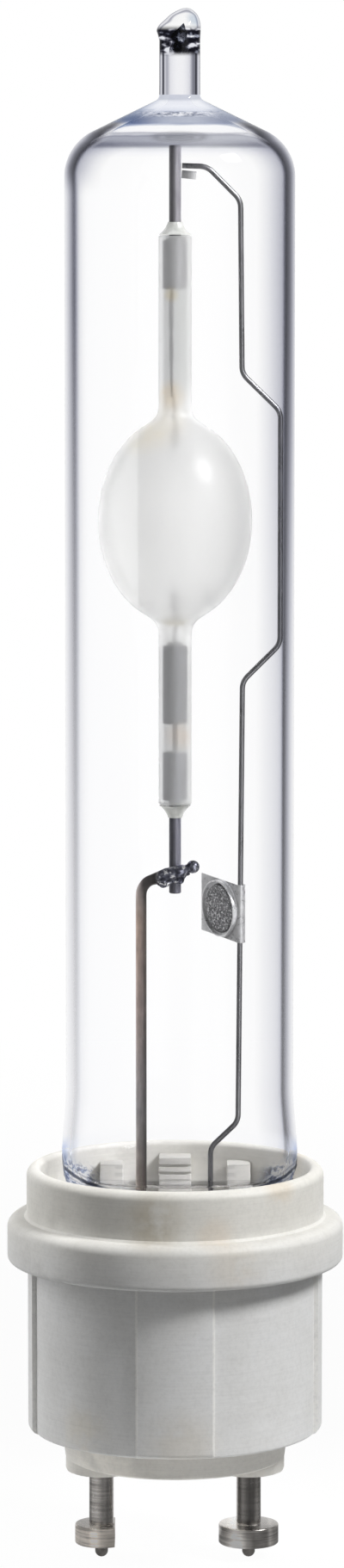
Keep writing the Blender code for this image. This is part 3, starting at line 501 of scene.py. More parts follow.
# ceramic base
basePlan = {
    "sides": 160,
    "plinthLow": 0.0134, "plinthHigh": 0.01375, "plinthTop": 0.00345,
    "body": 0.0174, "bodyTop": 0.0243, "bodyEdge": 0.0004,
    "flange": 0.0204, "flangeTop": 0.0297, "flangeEdge": 0.0007, "flangeBrow": 0.0013,
    "collar": 0.01805, "rim": 0.0358, "rimEdge": 0.0011, "cup": 0.01635, "cupFloor": 0.0133,
    "padRise": 0.00052, "padWidth": 0.0092, "padEdge": 0.0007,
    "boss": 0.00435, "bossHeight": 0.002, "pinAt": 0.009, "hole": 0.0016,
    "keyWidth": 0.004, "keyFace": 0.01305, "keyTop": 0.0342, "ridgePitch": 0.0011, "ridgeDepth": 0.0004,
    "ridges": 6,
    "sideAt": 0.0079, "sideWidth": 0.0029, "sideTop": 0.0337,
    "stainsAndLight": (  # place, size, tint; a tint above 1 is painted light, on the flange's left and on the plinth's left front, the others are stains
        ((-0.0026, -0.0181, 0.0322), 0.005, (0.76, 0.72, 0.65)),
        # painted light on the flange's left
        ((-0.0155, -0.013, 0.027), 0.008, 1.15),
        # painted light on the plinth's left front
        ((-0.008, -0.0105, 0.0012), 0.0085, (1.2, 1.19, 1.17)),
        ((0.0125, -0.0126, 0.0354), 0.0034, (0.95, 0.89, 0.82)),
        ((0.0072, -0.0192, 0.0268), 0.005, (0.96, 0.925, 0.88)),
        ((0.0046, -0.0176, 0.0305), 0.0036, (0.96, 0.91, 0.86)),
        ((0.0009, -0.0178, 0.005), 0.006, (0.92, 0.89, 0.84)),
        ((-0.011, -0.0135, 0.006), 0.005, (0.95, 0.92, 0.86)),
        ((0.016, 0.009, 0.035), 0.005, (0.95, 0.9, 0.83)),
        ((-0.009, 0.016, 0.025), 0.007, (0.93, 0.89, 0.83)),
    ),
}


def steatite(plan):
    made, tree, shader = startMaterial("firedSteatite")
    point = objectPoint(tree)
    axes = axesOf(tree, point)
    level = axes["Z"]
    cloud = noiseOf(tree, point, 180.0, 5.0)
    grain = noiseOf(tree, point, 1900.0, 3.0, 0.7)
    tone = rampOf(tree, cloud, [
        (0.3, (0.64, 0.635, 0.61)), (0.52, (0.675, 0.672, 0.65)), (0.75, (0.7, 0.7, 0.685)),
    ])
    # the body is a little colder than the collar and the plinth
    collar = rangeOf(tree, level, 0.0225, 0.033)
    tone = tinted(tree, tone, mixOf(tree, collar, (0.985, 0.99, 1.015), (1.02, 1.005, 0.975)))
    plinth = rangeOf(tree, level, plan["plinthTop"] + 0.00015, plan["plinthTop"] - 0.00045)
    tone = tinted(tree, tone, (1.03, 1.005, 0.955), plinth)
    tone = tinted(tree, tone, rampOf(tree, grain, [(0.3, 0.93), (0.55, 1.0), (0.8, 1.01)]))
    tone = patchTone(tree, tone, point, cloud, plan["stainsAndLight"], (0.36, 0.54))
    # fine lines round it, from the press tool
    lines = noiseOf(tree, objectPoint(tree, (0.25, 0.25, 6.0)), 700.0, 3.0, 0.6)
    tone = tinted(tree, tone, rampOf(tree, lines, [(0.3, 0.955), (0.55, 1.0), (0.75, 1.02)]))
    # painted shade in the cup: darker tops on the ribs, and dark grooves between the ridges of the key ribs
    away = lengthOf(tree, axes["X"], axes["Y"])
    ribTopShade = times(
        tree, rangeOf(tree, away, 0.0164, 0.0162), bandOf(tree, level, (0.0334, 0.0336), (0.0345, 0.0344)),
    )
    tone = tinted(tree, tone, 0.8, ribTopShade)
    wave = mathOf(tree, "SINE", times(tree, level, 2.0 * math.pi / plan["ridgePitch"]))
    grooveShade = times(tree, rangeOf(tree, away, 0.0138, 0.0134), rangeOf(tree, wave, -0.4, 0.6, 0.0, 0.3))
    tone = tinted(tree, tone, 0.45, times(tree, grooveShade, rangeOf(tree, level, 0.027, 0.0275)))
    # painted light on the rim's top
    tone = tinted(tree, tone, 1.06, rangeOf(tree, level, plan["rim"] - 0.001, plan["rim"] - 0.0003))
    # painted highlight along the pads' upright edges
    body = bandOf(tree, level, (0.003, 0.0034), (plan["bodyTop"] + 0.0003, plan["bodyTop"]))
    for axis in ("X", "Y"):
        off = apart(tree, mathOf(tree, "ABSOLUTE", axes[axis]), plan["padWidth"] / 2)
        paintedLighting = times(tree, body, rangeOf(tree, off, 0.00022, 0.00006, 0.0, 0.8))
        paintedLighting = times(tree, paintedLighting, rangeOf(tree, grain, 0.35, 0.55, 0.5, 1.0))
        tone = mixOf(tree, paintedLighting, tone, (0.8, 0.795, 0.77))
    tree.links.new(tone, shader.inputs["Base Color"])
    shader.inputs["Roughness"].default_value = 0.52
    shader.inputs["Specular IOR Level"].default_value = 0.35
    bumpOf(tree, shader, mixOf(tree, 0.5, cloud, grain), 0.25, 0.00008)
    return made


def makeBase(plan, finish):
    lip = plan["collar"] - plan["rimEdge"] - plan["cup"]
    low, body, edge = plan["plinthLow"], plan["body"], plan["bodyEdge"]
    outline = [(1e-5, 0.0), (low - 0.0002, 0.0), (low, 0.0002), (plan["plinthHigh"], plan["plinthTop"])]
    outline += arcPoints((body - edge, plan["plinthTop"] + edge), edge, -90.0, 0.0, 5)
    outline += [(body, plan["bodyTop"] - 0.0002), (body + 0.0002, plan["bodyTop"])]
    edge = plan["flangeEdge"]
    outline += arcPoints((plan["flange"] - edge, plan["bodyTop"] + edge), edge, -90.0, 0.0, 6)
    brow = plan["flangeBrow"]
    outline += arcPoints((plan["flange"] - brow, plan["flangeTop"] - brow), brow, 0.0, 90.0, 10)
    outline += [(plan["collar"] + 0.0003, plan["flangeTop"]), (plan["collar"], plan["flangeTop"] + 0.0003)]
    edge = plan["rimEdge"]
    outline += arcPoints((plan["collar"] - edge, plan["rim"] - edge), edge, 0.0, 90.0, 8)
    outline += arcPoints((plan["cup"] + lip, plan["rim"] - lip), lip, 90.0, 180.0, 5)[1:]
    outline += [(plan["cup"], plan["cupFloor"]), (1e-5, plan["cupFloor"])]
    base = turnedPiece("ceramicBody", outline, plan["sides"], smoothAngle=30.0)

    # the four pads are cut from two rings
    half, edge = plan["padWidth"] / 2, plan["padEdge"]
    padFoot, padTop, padRadius = plan["plinthTop"] + 0.0001, plan["bodyTop"] + 0.001, body + plan["padRise"]
    padOutline = [(1e-5, padFoot), (padRadius - edge, padFoot)]
    padOutline += arcPoints((padRadius - edge, padFoot + edge), edge, -90.0, 0.0, 5)
    padOutline += [(padRadius, padTop), (1e-5, padTop)]
    coreOutline = [(1e-5, -0.01), (0.0166, -0.01), (0.0166, 0.05), (1e-5, 0.05)]
    for index, (halfX, halfY) in enumerate(((half, 0.03), (0.03, half))):
        pad = turnedPiece(f"padRing{index}", padOutline, plan["sides"])
        combine(pad, boxPiece("padCut", (-halfX, -halfY, -0.01), (halfX, halfY, 0.05)), "INTERSECT")
        combine(pad, turnedPiece("padCore", coreOutline, plan["sides"]), "DIFFERENCE")
        combine(base, pad, "UNION")

    boss, foot, hole = plan["boss"], -plan["bossHeight"], plan["hole"]
    bossOutline = [
        (1e-5, foot), (boss - 0.0005, foot), (boss - 0.00015, foot + 0.00015), (boss, foot + 0.0005),
    ]
    bossOutline += [(boss, 0.0017), (1e-5, 0.0017)]
    holeOutline = [(1e-5, -0.01), (hole, -0.01), (hole, 0.02), (1e-5, 0.02)]
    for x in (-plan["pinAt"], plan["pinAt"]):
        combine(base, turnedPiece("boss", bossOutline, 96, centre=x), "UNION")
        combine(base, turnedPiece("hole", holeOutline, 64, centre=x), "DIFFERENCE")

    # ribs in the cup, at its front and its back: a ridged key rib between two plain ones
    floor, face = plan["cupFloor"] - 0.0004, plan["keyFace"]
    for side in (-1.0, 1.0):
        near, far = sorted((side * face, side * 0.0171))
        half = plan["keyWidth"] / 2
        key = boxPiece("keyRib", (-half, near, floor), (half, far, plan["keyTop"]), 0.00015, 2)
        for i in range(plan["ridges"]):
            level = plan["keyTop"] - 0.0005 - (i + 0.5) * plan["ridgePitch"]
            near, far = sorted((side * face - side * 0.001, side * face + side * plan["ridgeDepth"]))
            groove = boxPiece(
                "groove", (-0.004, near, level - 0.00022), (0.004, far, level + 0.00022), 0.0001, 2,
            )
            combine(key, groove, "DIFFERENCE")
        combine(base, key, "UNION")
        half = plan["sideWidth"] / 2
        reach = plan["sideAt"] + half
        inner = math.sqrt(plan["cup"] ** 2 - reach ** 2) - 0.002
        near, far = sorted((side * inner, side * math.sqrt(0.0174 ** 2 - reach ** 2)))
        for x in (-plan["sideAt"], plan["sideAt"]):
            rib = boxPiece("sideRib", (x - half, near, floor), (x + half, far, plan["sideTop"]), 0.0002, 2)
            combine(base, rib, "UNION")
    finishPiece(base, 28.0)
    dress(base, "steatite", finish, "ceramic_base")


makeBase(basePlan, steatite(basePlan))
print("ceramic base ready")


# contact pins and lead ends
pinPlan = {
    "at": 0.009, "shank": 0.0015, "bore": 0.00055, "headTop": -0.0086, "headBottom": -0.011,
    "rightHead": 0.00365, "leftHead": 0.00323, "leftFlat": -0.00736, "edge": 0.00018, "top": 0.014,
    # painted highlights and shade: bright and dark streaks from the left to the right of each shank and head
    "shankSpan": (0.0075, 0.0105), "headSpan": (0.0054, 0.0126),  # distance from the middle plane
    "leftShankTone": [
        (0.0, 0.7), (0.12, 1.9), (0.3, 2.2), (0.42, 1.6), (0.55, 0.85), (0.75, 0.5), (0.88, 0.95), (1.0, 1.0),
    ],
    "rightShankTone": [
        (0.0, 2.6), (0.09, 1.3), (0.17, 1.1), (0.25, 1.8), (0.38, 1.1), (0.55, 0.42), (0.7, 0.55),
        (0.83, 1.6), (1.0, 1.2),
    ],
    "leftHeadTone": [
        (0.05, 0.9), (0.14, 0.64), (0.28, 0.85), (0.34, 1.3), (0.42, 1.3), (0.5, 0.74), (0.6, 0.5),
        (0.7, 0.45), (1.0, 0.9),
    ],
    "rightHeadTone": [
        (0.08, 0.8), (0.14, 1.1), (0.25, 2.0), (0.36, 1.5), (0.47, 0.63), (0.58, 0.3), (0.81, 0.36),
        (0.86, 0.8), (0.92, 0.5),
    ],
}


def nickelPlate(plan):
    made, tree, shader = startMaterial("brushedNickel")
    point = objectPoint(tree)
    turned = noiseOf(tree, objectPoint(tree, (0.15, 0.15, 4.0)), 900.0, 4.0, 0.65)
    cloud = noiseOf(tree, point, 700.0, 5.0, 0.65)
    tone = rampOf(tree, cloud, [
        (0.3, (0.5, 0.475, 0.45)), (0.55, (0.58, 0.555, 0.53)), (0.8, (0.68, 0.655, 0.63)),
    ])
    tone = tinted(tree, tone, rampOf(tree, turned, [(0.36, 0.62), (0.5, 1.0), (0.62, 1.25)]))
    axes = axesOf(tree, point)
    onRight = rangeOf(tree, axes["X"], -0.002, 0.002)
    shank = rangeOf(tree, axes["Z"], plan["headTop"] - 0.0002, plan["headTop"] + 0.0002)
    # painted light: the right pin is made brighter, and both shanks get painted shade
    tone = tinted(tree, tone, 1.35, times(tree, onRight, 0.8))
    paintedLighting = times(tree, shank, rangeOf(tree, axes["X"], -0.002, 0.002, 0.34, 0.8))
    tone = mixOf(tree, paintedLighting, tone, (0.1, 0.095, 0.09))
    # painted highlights and shade across each shank and head
    paintedLightStreaks = []
    for zone in ("head", "shank"):
        near, far = plan[zone + "Span"]
        tones = []
        for side, low, high in (("left", -far, -near), ("right", near, far)):
            across = rangeOf(tree, axes["X"], low, high, kind="LINEAR")
            tones.append(rampOf(tree, across, plan[f"{side}{zone.capitalize()}Tone"]))
        paintedLightStreaks.append(mixOf(tree, onRight, *tones))
    tone = tinted(tree, tone, mixOf(tree, shank, *paintedLightStreaks))
    # painted light: the left head is made lighter and less metallic
    leftHead = times(tree, minus(tree, 1.0, onRight), minus(tree, 1.0, shank))
    tree.links.new(tinted(tree, tone, (1.55, 1.5, 1.44), leftHead), shader.inputs["Base Color"])
    rough = minus(tree, rangeOf(tree, cloud, 0.3, 0.75, 0.29, 0.36), times(tree, shank, 0.08))
    tree.links.new(rough, shader.inputs["Roughness"])
    tree.links.new(minus(tree, 0.92, times(tree, leftHead, 0.45)), shader.inputs["Metallic"])
    bumpOf(tree, shader, mixOf(tree, 0.5, turned, cloud), 0.15, 0.00002)
    return made


def makePin(name, side, head, plan, finish, node):
    x = side * plan["at"]
    edge = plan["edge"]
    low, high = plan["headBottom"], plan["headTop"]
    outline = [(plan["bore"], low), (head - edge, low)]
    outline += arcPoints((head - edge, low + edge), edge, -90.0, 0.0, 4)
    outline += arcPoints((head - edge, high - edge), edge, 0.0, 90.0, 4)
    outline += [
        (plan["shank"] + 0.00012, high), (plan["shank"], high + 0.00012), (plan["shank"], plan["top"]),
        (plan["bore"], plan["top"]), (plan["bore"], low),
    ]
    pin = turnedPiece(name, outline, 96, centre=x, closed=True, smoothAngle=30.0)
    if side < 0:
        cut = boxPiece(
            "headCut", (plan["leftFlat"], -0.005, -0.02), (plan["leftFlat"] + 0.005, 0.005, high + 0.0003),
        )
        combine(pin, cut, "DIFFERENCE")
    finishPiece(pin, 30.0)
    dress(pin, "nickel_plate", finish, node)


leadEndPlan = {"radius": 0.0004, "bead": 0.0008, "top": -0.0109, "low": -0.0128}


def makeLeadEnd(name, side, plan, finish, node):
    x = side * pinPlan["at"]
    radius, bead, top = plan["radius"], plan["bead"], plan["top"]
    rings = roundRings([
        (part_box(node)[1][2], radius), (top + 0.0004, radius), (top - 0.0001, radius * 1.05),
        (top - 0.00018, bead * 0.93),
    ], x)
    for angle in (0.0, 12.0, 30.0, 48.0, 64.0, 78.0, 87.0):
        turn = math.radians(angle)
        height = plan["low"] + bead * (1.0 - math.sin(turn)) if angle else top - 0.0005
        rings.append((height, bead * math.cos(turn), bead * 0.98 * math.cos(turn), x))
    end = ringPiece(name, rings, 40, smoothAngle=50.0)
    dress(end, "nickel_wire", finish, node)


def nickelWire():
    made, tree, shader = startMaterial("meltedNickel")
    cloud = noiseOf(tree, objectPoint(tree), 1500.0, 4.0)
    tree.links.new(
        rampOf(tree, cloud, [(0.3, (0.2, 0.19, 0.18)), (0.7, (0.38, 0.36, 0.34))]),
        shader.inputs["Base Color"],
    )
    tree.links.new(rangeOf(tree, cloud, 0.3, 0.7, 0.22, 0.42), shader.inputs["Roughness"])
    shader.inputs["Metallic"].default_value = 1.0
    bumpOf(tree, shader, cloud, 0.4, 0.00005)
    return made


plateFinish = nickelPlate(pinPlan)
makePin("pinLeft", -1.0, pinPlan["leftHead"], pinPlan, plateFinish, "contact_pin_left")
makePin("pinRight", 1.0, pinPlan["rightHead"], pinPlan, plateFinish, "contact_pin_right")
endFinish = nickelWire()
makeLeadEnd("leadEndLeft", -1.0, leadEndPlan, endFinish, "outer_lead_left")
makeLeadEnd("leadEndRight", 1.0, leadEndPlan, endFinish, "outer_lead_right")
print("pins ready")


# outer bulb
bulbPlan = {
    "sides": 192, "centre": 0.00055, "radius": 0.01375, "wall": 0.00105,
    "neckTop": 0.0369, "flare": 0.0143, "flareHeight": 0.009,
    "sealTop": 0.0329, "sealBottom": 0.0179, "sealWide": 0.0124, "sealDeep": 0.0024,
    "shoulderR": 0.006, "coneSlope": 0.48, "top": 0.16427,
    "stub": 0.00242, "bore": 0.00125, "stubEnd": 0.17117,
    # rise above the stub's foot, radius, lean: the bore collapses into a crooked bubble
    "boreEnd": (
        (0.0056, 0.00125, 0.0), (0.006, 0.00119, 0.0), (0.0063, 0.00098, -0.00002),
        (0.0067, 0.00082, -0.00008), (0.0071, 0.0009, -0.00012),
        (0.0075, 0.00094, -0.00008), (0.0079, 0.00078, 0.00004), (0.0082, 0.0005, 0.00018),
        (0.0085, 0.0003, 0.00032), (0.0088, 0.0001, 0.00042), (0.0089, 0.00001, 0.00044),
    ),
    "ripple": 0.00028, "rippleSize": 620.0, "rippleTop": 0.0375, "pressTop": 0.0392,
    "index": 1.01, "gloss": 0.25,
    "tip": (  # rise above the stub's end, radius, lean
        (0.0, 0.00242, 0.0), (0.0007, 0.00254, -0.00008), (0.0012, 0.00261, -0.00013),
        (0.0018, 0.00245, 0.00002),
        (0.0024, 0.00206, 0.00028), (0.003, 0.0016, 0.00048), (0.0034, 0.00108, 0.00062),
        (0.0037, 0.0005, 0.00075),
        (0.00378, 0.00006, 0.00079),
    ),
}


def mirrorSides(tree, place, facing, left, right):
    side = rangeOf(tree, place["X"], -0.006, 0.006)
    return mixOf(tree, side, rampOf(tree, facing, left), rampOf(tree, facing, right))


def tintDark(tree, tone):
    # the darker the painted shade on the glass, the bluer
    tint = rampOf(tree, tone, [(0.05, (0.77, 0.79, 1.0)), (0.6, (0.9, 0.91, 1.0)), (0.95, (1.0, 1.0, 1.0))])
    return tinted(tree, tone, tint)


def wallPaintedShade(tree, place, facing):
    # painted shade: the dark line that the wall's edge shows is painted inside each side, stronger on one
    # side and towards the dome
    onCone = rampOf(tree, rangeOf(tree, place["Z"], 0.155, 0.162, kind="LINEAR"), [
        (0.0, 0.0), (0.61, 0.0), (0.7, 0.08), (0.76, 0.17), (0.8, 0.19), (1.0, 0.19),
    ])
    shifted = minus(tree, facing, onCone)
    left = [
        (0.0, 1.0), (0.4, 1.0), (0.448, 0.95), (0.496, 0.85), (0.522, 0.68), (0.551, 0.38), (0.581, 0.16),
        (0.616, 0.24), (0.654, 0.4), (0.697, 0.55), (0.749, 0.695), (0.816, 0.8), (0.93, 0.9), (1.0, 0.96),
    ]
    right = [
        (0.0, 1.0), (0.25, 0.98), (0.34, 0.86), (0.426, 0.72), (0.471, 0.65), (0.522, 0.56), (0.551, 0.4),
        (0.578, 0.13), (0.606, 0.06), (0.654, 0.11), (0.697, 0.18), (0.749, 0.34), (0.816, 0.56),
        (0.94, 0.76), (1.0, 0.85),
    ]
    narrow = [
        (0.0, 1.0), (0.25, 0.98), (0.34, 0.88), (0.445, 0.8), (0.492, 0.74), (0.53, 0.62), (0.548, 0.36),
        (0.566, 0.07), (0.582, 0.05), (0.6, 0.13), (0.63, 0.26), (0.67, 0.43), (0.716, 0.64), (0.807, 0.83),
        (1.0, 0.93),
    ]
    low = rangeOf(tree, place["Z"], 0.145, 0.085)
    side = mathOf(
        tree, "MAXIMUM", rangeOf(tree, place["X"], -0.006, 0.006), rangeOf(tree, place["Z"], 0.1525, 0.1565),
    )
    line = mixOf(tree, low, rampOf(tree, shifted, right), rampOf(tree, shifted, narrow))
    line = tintDark(tree, mixOf(tree, side, rampOf(tree, shifted, left), line))
    open = times(tree, rangeOf(tree, shifted, 0.56, 0.5), rangeOf(tree, place["Z"], 0.1588, 0.16))
    line = mixOf(tree, open, line, (1.0, 1.0, 1.0))
    fade = mixOf(
        tree, side, rangeOf(tree, place["Z"], 0.14, 0.045, 0.0, 0.68, "LINEAR"),
        rangeOf(tree, place["Z"], 0.125, 0.045, 0.0, 0.17, "LINEAR"),
    )
    fade = mixOf(tree, rangeOf(tree, place["Z"], 0.1609, 0.1618), fade, 1.0)
    return mixOf(tree, fade, line, (0.995, 0.995, 1.0)), shifted


def domePaintedLight(tree, place, shifted):
    # painted reflections and shade: blue where the glass is thick under the stub, then a clear band, then the
    # grey ring inside the dome
    point = objectPoint(tree)
    rise = rangeOf(tree, place["Z"], 0.1574, 0.1654, kind="LINEAR")
    wave = times(tree, minus(tree, noiseOf(tree, objectPoint(tree, (1.0, 1.0, 0.2)), 160.0, 2.0), 0.5), 0.05)
    bands = rampOf(tree, plus(tree, rise, wave), [
        (0.0, (1.0, 1.0, 1.0)), (0.07, (0.95, 0.95, 0.97)), (0.13, (0.8, 0.81, 0.85)),
        (0.163, (0.4, 0.41, 0.46)), (0.19, (0.24, 0.25, 0.31)),
        (0.225, (0.4, 0.41, 0.47)), (0.3, (0.45, 0.47, 0.53)), (0.335, (0.38, 0.39, 0.45)),
        (0.352, (0.24, 0.25, 0.31)), (0.364, (0.6, 0.61, 0.67)),
        (0.374, (1.0, 1.0, 1.0)), (0.474, (1.0, 1.0, 1.0)), (0.488, (0.3, 0.35, 0.5)),
        (0.505, (0.085, 0.13, 0.28)), (0.56, (0.05, 0.09, 0.215)),
        (0.625, (0.055, 0.1, 0.23)), (0.665, (0.13, 0.185, 0.35)), (0.69, (0.72, 0.75, 0.84)),
        (0.74, (0.95, 0.96, 1.0)), (0.81, (0.97, 0.975, 1.0)), (0.85, (0.4, 0.42, 0.5)),
    ])
    off = apart(tree, place["X"], bulbPlan["centre"])
    edge = times(tree, rangeOf(tree, shifted, 0.45, 0.7), rangeOf(tree, place["Z"], 0.1614, 0.162))
    bands = mixOf(
        tree, edge, bands,
        rampOf(tree, rangeOf(tree, place["Z"], 0.162, 0.1642, kind="LINEAR"), [
            (0.0, (0.15, 0.2, 0.33)), (0.4, (0.22, 0.29, 0.45)), (1.0, (0.55, 0.6, 0.74)),
        ]),
    )
    # painted light: the bands grow paler towards the right
    lift = rangeOf(tree, place["X"], -0.004, 0.005, 0.0, 0.2)
    bands = mixOf(tree, lift, bands, (1.0, 1.0, 1.0))
    # painted light gathers in the middle of the blue glass, with rows of painted glints
    gathered = times(tree, rangeOf(tree, off, 0.0068, 0.0008), rangeOf(tree, rise, 0.46, 0.52))
    speck = noiseOf(tree, objectPoint(tree, (1.0, 1.0, 3.5)), 1100.0, 3.0, 0.6)
    glints = rampOf(tree, speck, [
        (0.36, (0.05, 0.06, 0.1)), (0.45, (0.3, 0.33, 0.42)), (0.54, (0.98, 0.98, 1.0)),
    ])
    rows = times(tree, rangeOf(tree, rise, 0.595, 0.615), rangeOf(tree, rise, 0.675, 0.655))
    bands = mixOf(tree, times(tree, gathered, 0.5), bands, (0.8, 0.83, 0.9))
    bands = mixOf(tree, times(tree, gathered, rows, 0.9), bands, glints)
    # rings of the bore's mouth, mirrored in the dome
    wide = mathOf(tree, "DIVIDE", off, 0.0042)
    tall = mathOf(tree, "DIVIDE", minus(tree, place["Z"], 0.15985), 0.00075)
    mouth = lengthOf(tree, wide, tall)
    rings = rampOf(tree, mouth, [
        (0.0, 0.62), (0.22, 0.7), (0.38, 0.6), (0.52, 0.86), (0.68, 0.66), (0.85, 0.92), (1.0, 1.0),
    ])
    bands = tinted(tree, bands, rings)
    shown = mathOf(
        tree, "MAXIMUM", rangeOf(tree, shifted, 0.58, 0.5), rangeOf(tree, place["Z"], 0.1609, 0.1616),
    )
    return mixOf(tree, shown, (1.0, 1.0, 1.0), bands)


def stubPaintedLight(tree, place, facing):
    # painted shade and reflections: the dark and bright lines of the stub's thick wall, a darker tip, and a
    # tangle of dark reflections where the bore closes
    tone = mirrorSides(tree, place, facing, [
        (0.0, 0.92), (0.12, 0.86), (0.19, 0.58), (0.24, 0.72), (0.285, 1.0), (0.33, 0.92), (0.37, 0.06),
        (0.43, 0.03), (0.485, 0.45), (0.55, 0.9), (0.62, 0.6), (0.72, 0.05), (0.9, 0.04), (1.0, 0.3),
    ], [
        (0.0, 0.92), (0.12, 0.72), (0.18, 0.38), (0.24, 0.08), (0.3, 0.02), (0.39, 0.02), (0.46, 0.2),
        (0.55, 0.66), (0.64, 0.78), (0.76, 0.5), (0.86, 0.08), (1.0, 0.12),
    ])
    tip = rangeOf(tree, place["Z"], 0.1706, 0.1716)
    tone = mixOf(
        tree, tip, tone,
        rampOf(tree, facing, [
            (0.0, 0.97), (0.36, 0.93), (0.48, 0.4), (0.58, 0.86), (0.72, 0.7), (0.86, 0.22), (1.0, 0.1),
        ]),
    )
    tone = tintDark(tree, tone)
    lump = noiseOf(tree, objectPoint(tree, (0.8, 0.0, 1.7)), 560.0, 3.0, 0.5)
    tangle = rampOf(tree, lump, [
        (0.38, (0.8, 0.81, 0.86)), (0.42, (0.1, 0.1, 0.13)), (0.46, (0.004, 0.004, 0.008)),
        (0.59, (0.006, 0.006, 0.012)), (0.63, (0.3, 0.32, 0.4)), (0.67, (1.0, 1.0, 1.0)),
    ])
    within = times(tree, rangeOf(tree, place["Z"], 0.1692, 0.1699), rangeOf(tree, place["Z"], 0.173, 0.1723))
    within = times(tree, within, rangeOf(tree, facing, 0.95, 0.7))
    tone = mixOf(tree, within, tone, tangle)
    # a painted bluish reflection near the tip
    patch = spotOf(tree, objectPoint(tree), (0.0022, -0.0015, 0.1736), 0.0013)
    tone = mixOf(tree, times(tree, patch, 0.8), tone, (0.32, 0.42, 0.55))
    return tone


def boreTone(tree, place):
    # the collapsed end of the bore is a tangle of dark reflections
    lump = noiseOf(tree, objectPoint(tree, (1.0, 1.0, 1.5)), 900.0, 2.0, 0.5)
    dark = rampOf(tree, lump, [
        (0.4, (0.02, 0.02, 0.03)), (0.54, (0.1, 0.11, 0.14)), (0.6, (0.7, 0.72, 0.78)),
        (0.7, (1.0, 1.0, 1.0)),
    ])
    tone = mixOf(tree, rangeOf(tree, place["Z"], 0.1694, 0.1701), (0.96, 0.96, 0.98), dark)
    return tone


def pressPaintedLight(tree, place, facing):
    # painted shade and reflections: dark lines towards the press's edges, and blue and white lumps on its two
    # ears
    line = rampOf(tree, facing, [
        (0.0, (0.98, 0.98, 0.99)), (0.45, (0.95, 0.96, 0.98)), (0.62, (0.72, 0.78, 0.92)),
        (0.8, (0.32, 0.42, 0.72)), (1.0, (0.5, 0.58, 0.84)),
    ])
    reach = apart(tree, place["X"], bulbPlan["centre"])
    line = mixOf(tree, rangeOf(tree, reach, 0.0085, 0.0112), (0.97, 0.97, 0.98), line)
    scribble = noiseOf(tree, objectPoint(tree, (0.8, 1.0, 1.6)), 720.0, 3.0, 0.6)
    lumps = rampOf(tree, scribble, [
        (0.38, (0.012, 0.022, 0.08)), (0.44, (0.12, 0.19, 0.45)), (0.5, (0.95, 0.96, 1.0)),
        (0.6, (1.0, 1.0, 1.0)), (0.68, (0.15, 0.2, 0.42)),
    ])
    ears = times(tree, rangeOf(tree, reach, 0.009, 0.011), rangeOf(tree, place["Z"], 0.038, 0.0368))
    ears = times(tree, ears, rangeOf(tree, place["Y"], 0.003, -0.001))
    tone = mixOf(tree, times(tree, ears, 0.9), line, lumps)
    above, shifted = wallPaintedShade(tree, place, facing)
    tone = mixOf(tree, rangeOf(tree, place["Z"], 0.0372, 0.039), tone, above)
    # a fold runs across the front of the press, painted with dark shade and bright glints along it
    fold = plus(tree, 0.0341, times(tree, reach, reach, 9.0))
    wave = times(
        tree, minus(tree, noiseOf(tree, objectPoint(tree, (1.0, 0.2, 0.2)), 300.0, 2.0), 0.5), 0.0012,
    )
    off = apart(tree, place["Z"], plus(tree, fold, wave))
    lines = rampOf(tree, rangeOf(tree, off, 0.0, 0.0012, kind="LINEAR"), [
        (0.0, (0.015, 0.02, 0.035)), (0.18, (0.04, 0.05, 0.08)), (0.3, (1.0, 1.0, 1.0)),
        (0.46, (0.8, 0.82, 0.86)), (0.58, (0.3, 0.33, 0.4)), (0.7, (0.95, 0.96, 1.0)), (1.0, (1.0, 1.0, 1.0)),
    ])
    tone = tinted(tree, tone, lines, rangeOf(tree, place["Y"], 0.0, -0.002))
    return tone


def quartz(name, zone):
    # the glass hardly bends light: the dark lines, bands and glints that thick glass shows by bending and
    # mirroring light are painted on its surface
    made, tree, shader = startMaterial(name)
    shader.inputs["Transmission Weight"].default_value = 1.0
    shader.inputs["Roughness"].default_value = 0.0
    shader.inputs["IOR"].default_value = bulbPlan["index"]
    shader.inputs["Coat Weight"].default_value = 0.0 if zone in ("inside", "bore") else bulbPlan["gloss"]
    shader.inputs["Coat Roughness"].default_value = 0.02
    weight = tree.nodes.new("ShaderNodeLayerWeight")
    weight.inputs["Blend"].default_value = 0.5
    facing = weight.outputs["Facing"]
    place = axesOf(tree, objectPoint(tree))
    if zone == "wall":
        tone, shifted = wallPaintedShade(tree, place, facing)
        tone = tinted(tree, tone, domePaintedLight(tree, place, shifted))
    elif zone == "stub":
        tone = stubPaintedLight(tree, place, facing)
    elif zone == "bore":
        tone = boreTone(tree, place)
    elif zone == "press":
        tone = pressPaintedLight(tree, place, facing)
    else:
        # painted shade: the inner surface is a little darker and bluer towards its edges
        tone = rampOf(tree, facing, [
            (0.0, (0.998, 0.998, 1.0)), (0.45, (0.99, 0.992, 1.0)), (0.85, (0.95, 0.955, 0.975)),
            (1.0, (0.97, 0.97, 0.985)),
        ])
    tree.links.new(tone, shader.inputs["Base Color"])
    clear = tree.nodes.new("ShaderNodeBsdfTransparent")  # the glass casts hardly any shadow
    clear.inputs["Color"].default_value = (0.96, 0.96, 0.965, 1.0)
    path = tree.nodes.new("ShaderNodeLightPath")
    showMix(tree, path.outputs["Is Shadow Ray"], shader.outputs[0], clear.outputs[0])
    return made


def domeArc(plan, wall):
    norm = math.hypot(1.0, plan["coneSlope"])
    foot = plan["top"] + plan["coneSlope"] * plan["stub"]
    centreR = plan["radius"] - plan["shoulderR"]
    centreZ = foot - plan["coneSlope"] * centreR - norm * plan["shoulderR"]
    lean = math.degrees(math.atan2(1.0, plan["coneSlope"]))
    return arcPoints((centreR, centreZ), plan["shoulderR"] - wall, 0.0, lean, 20)


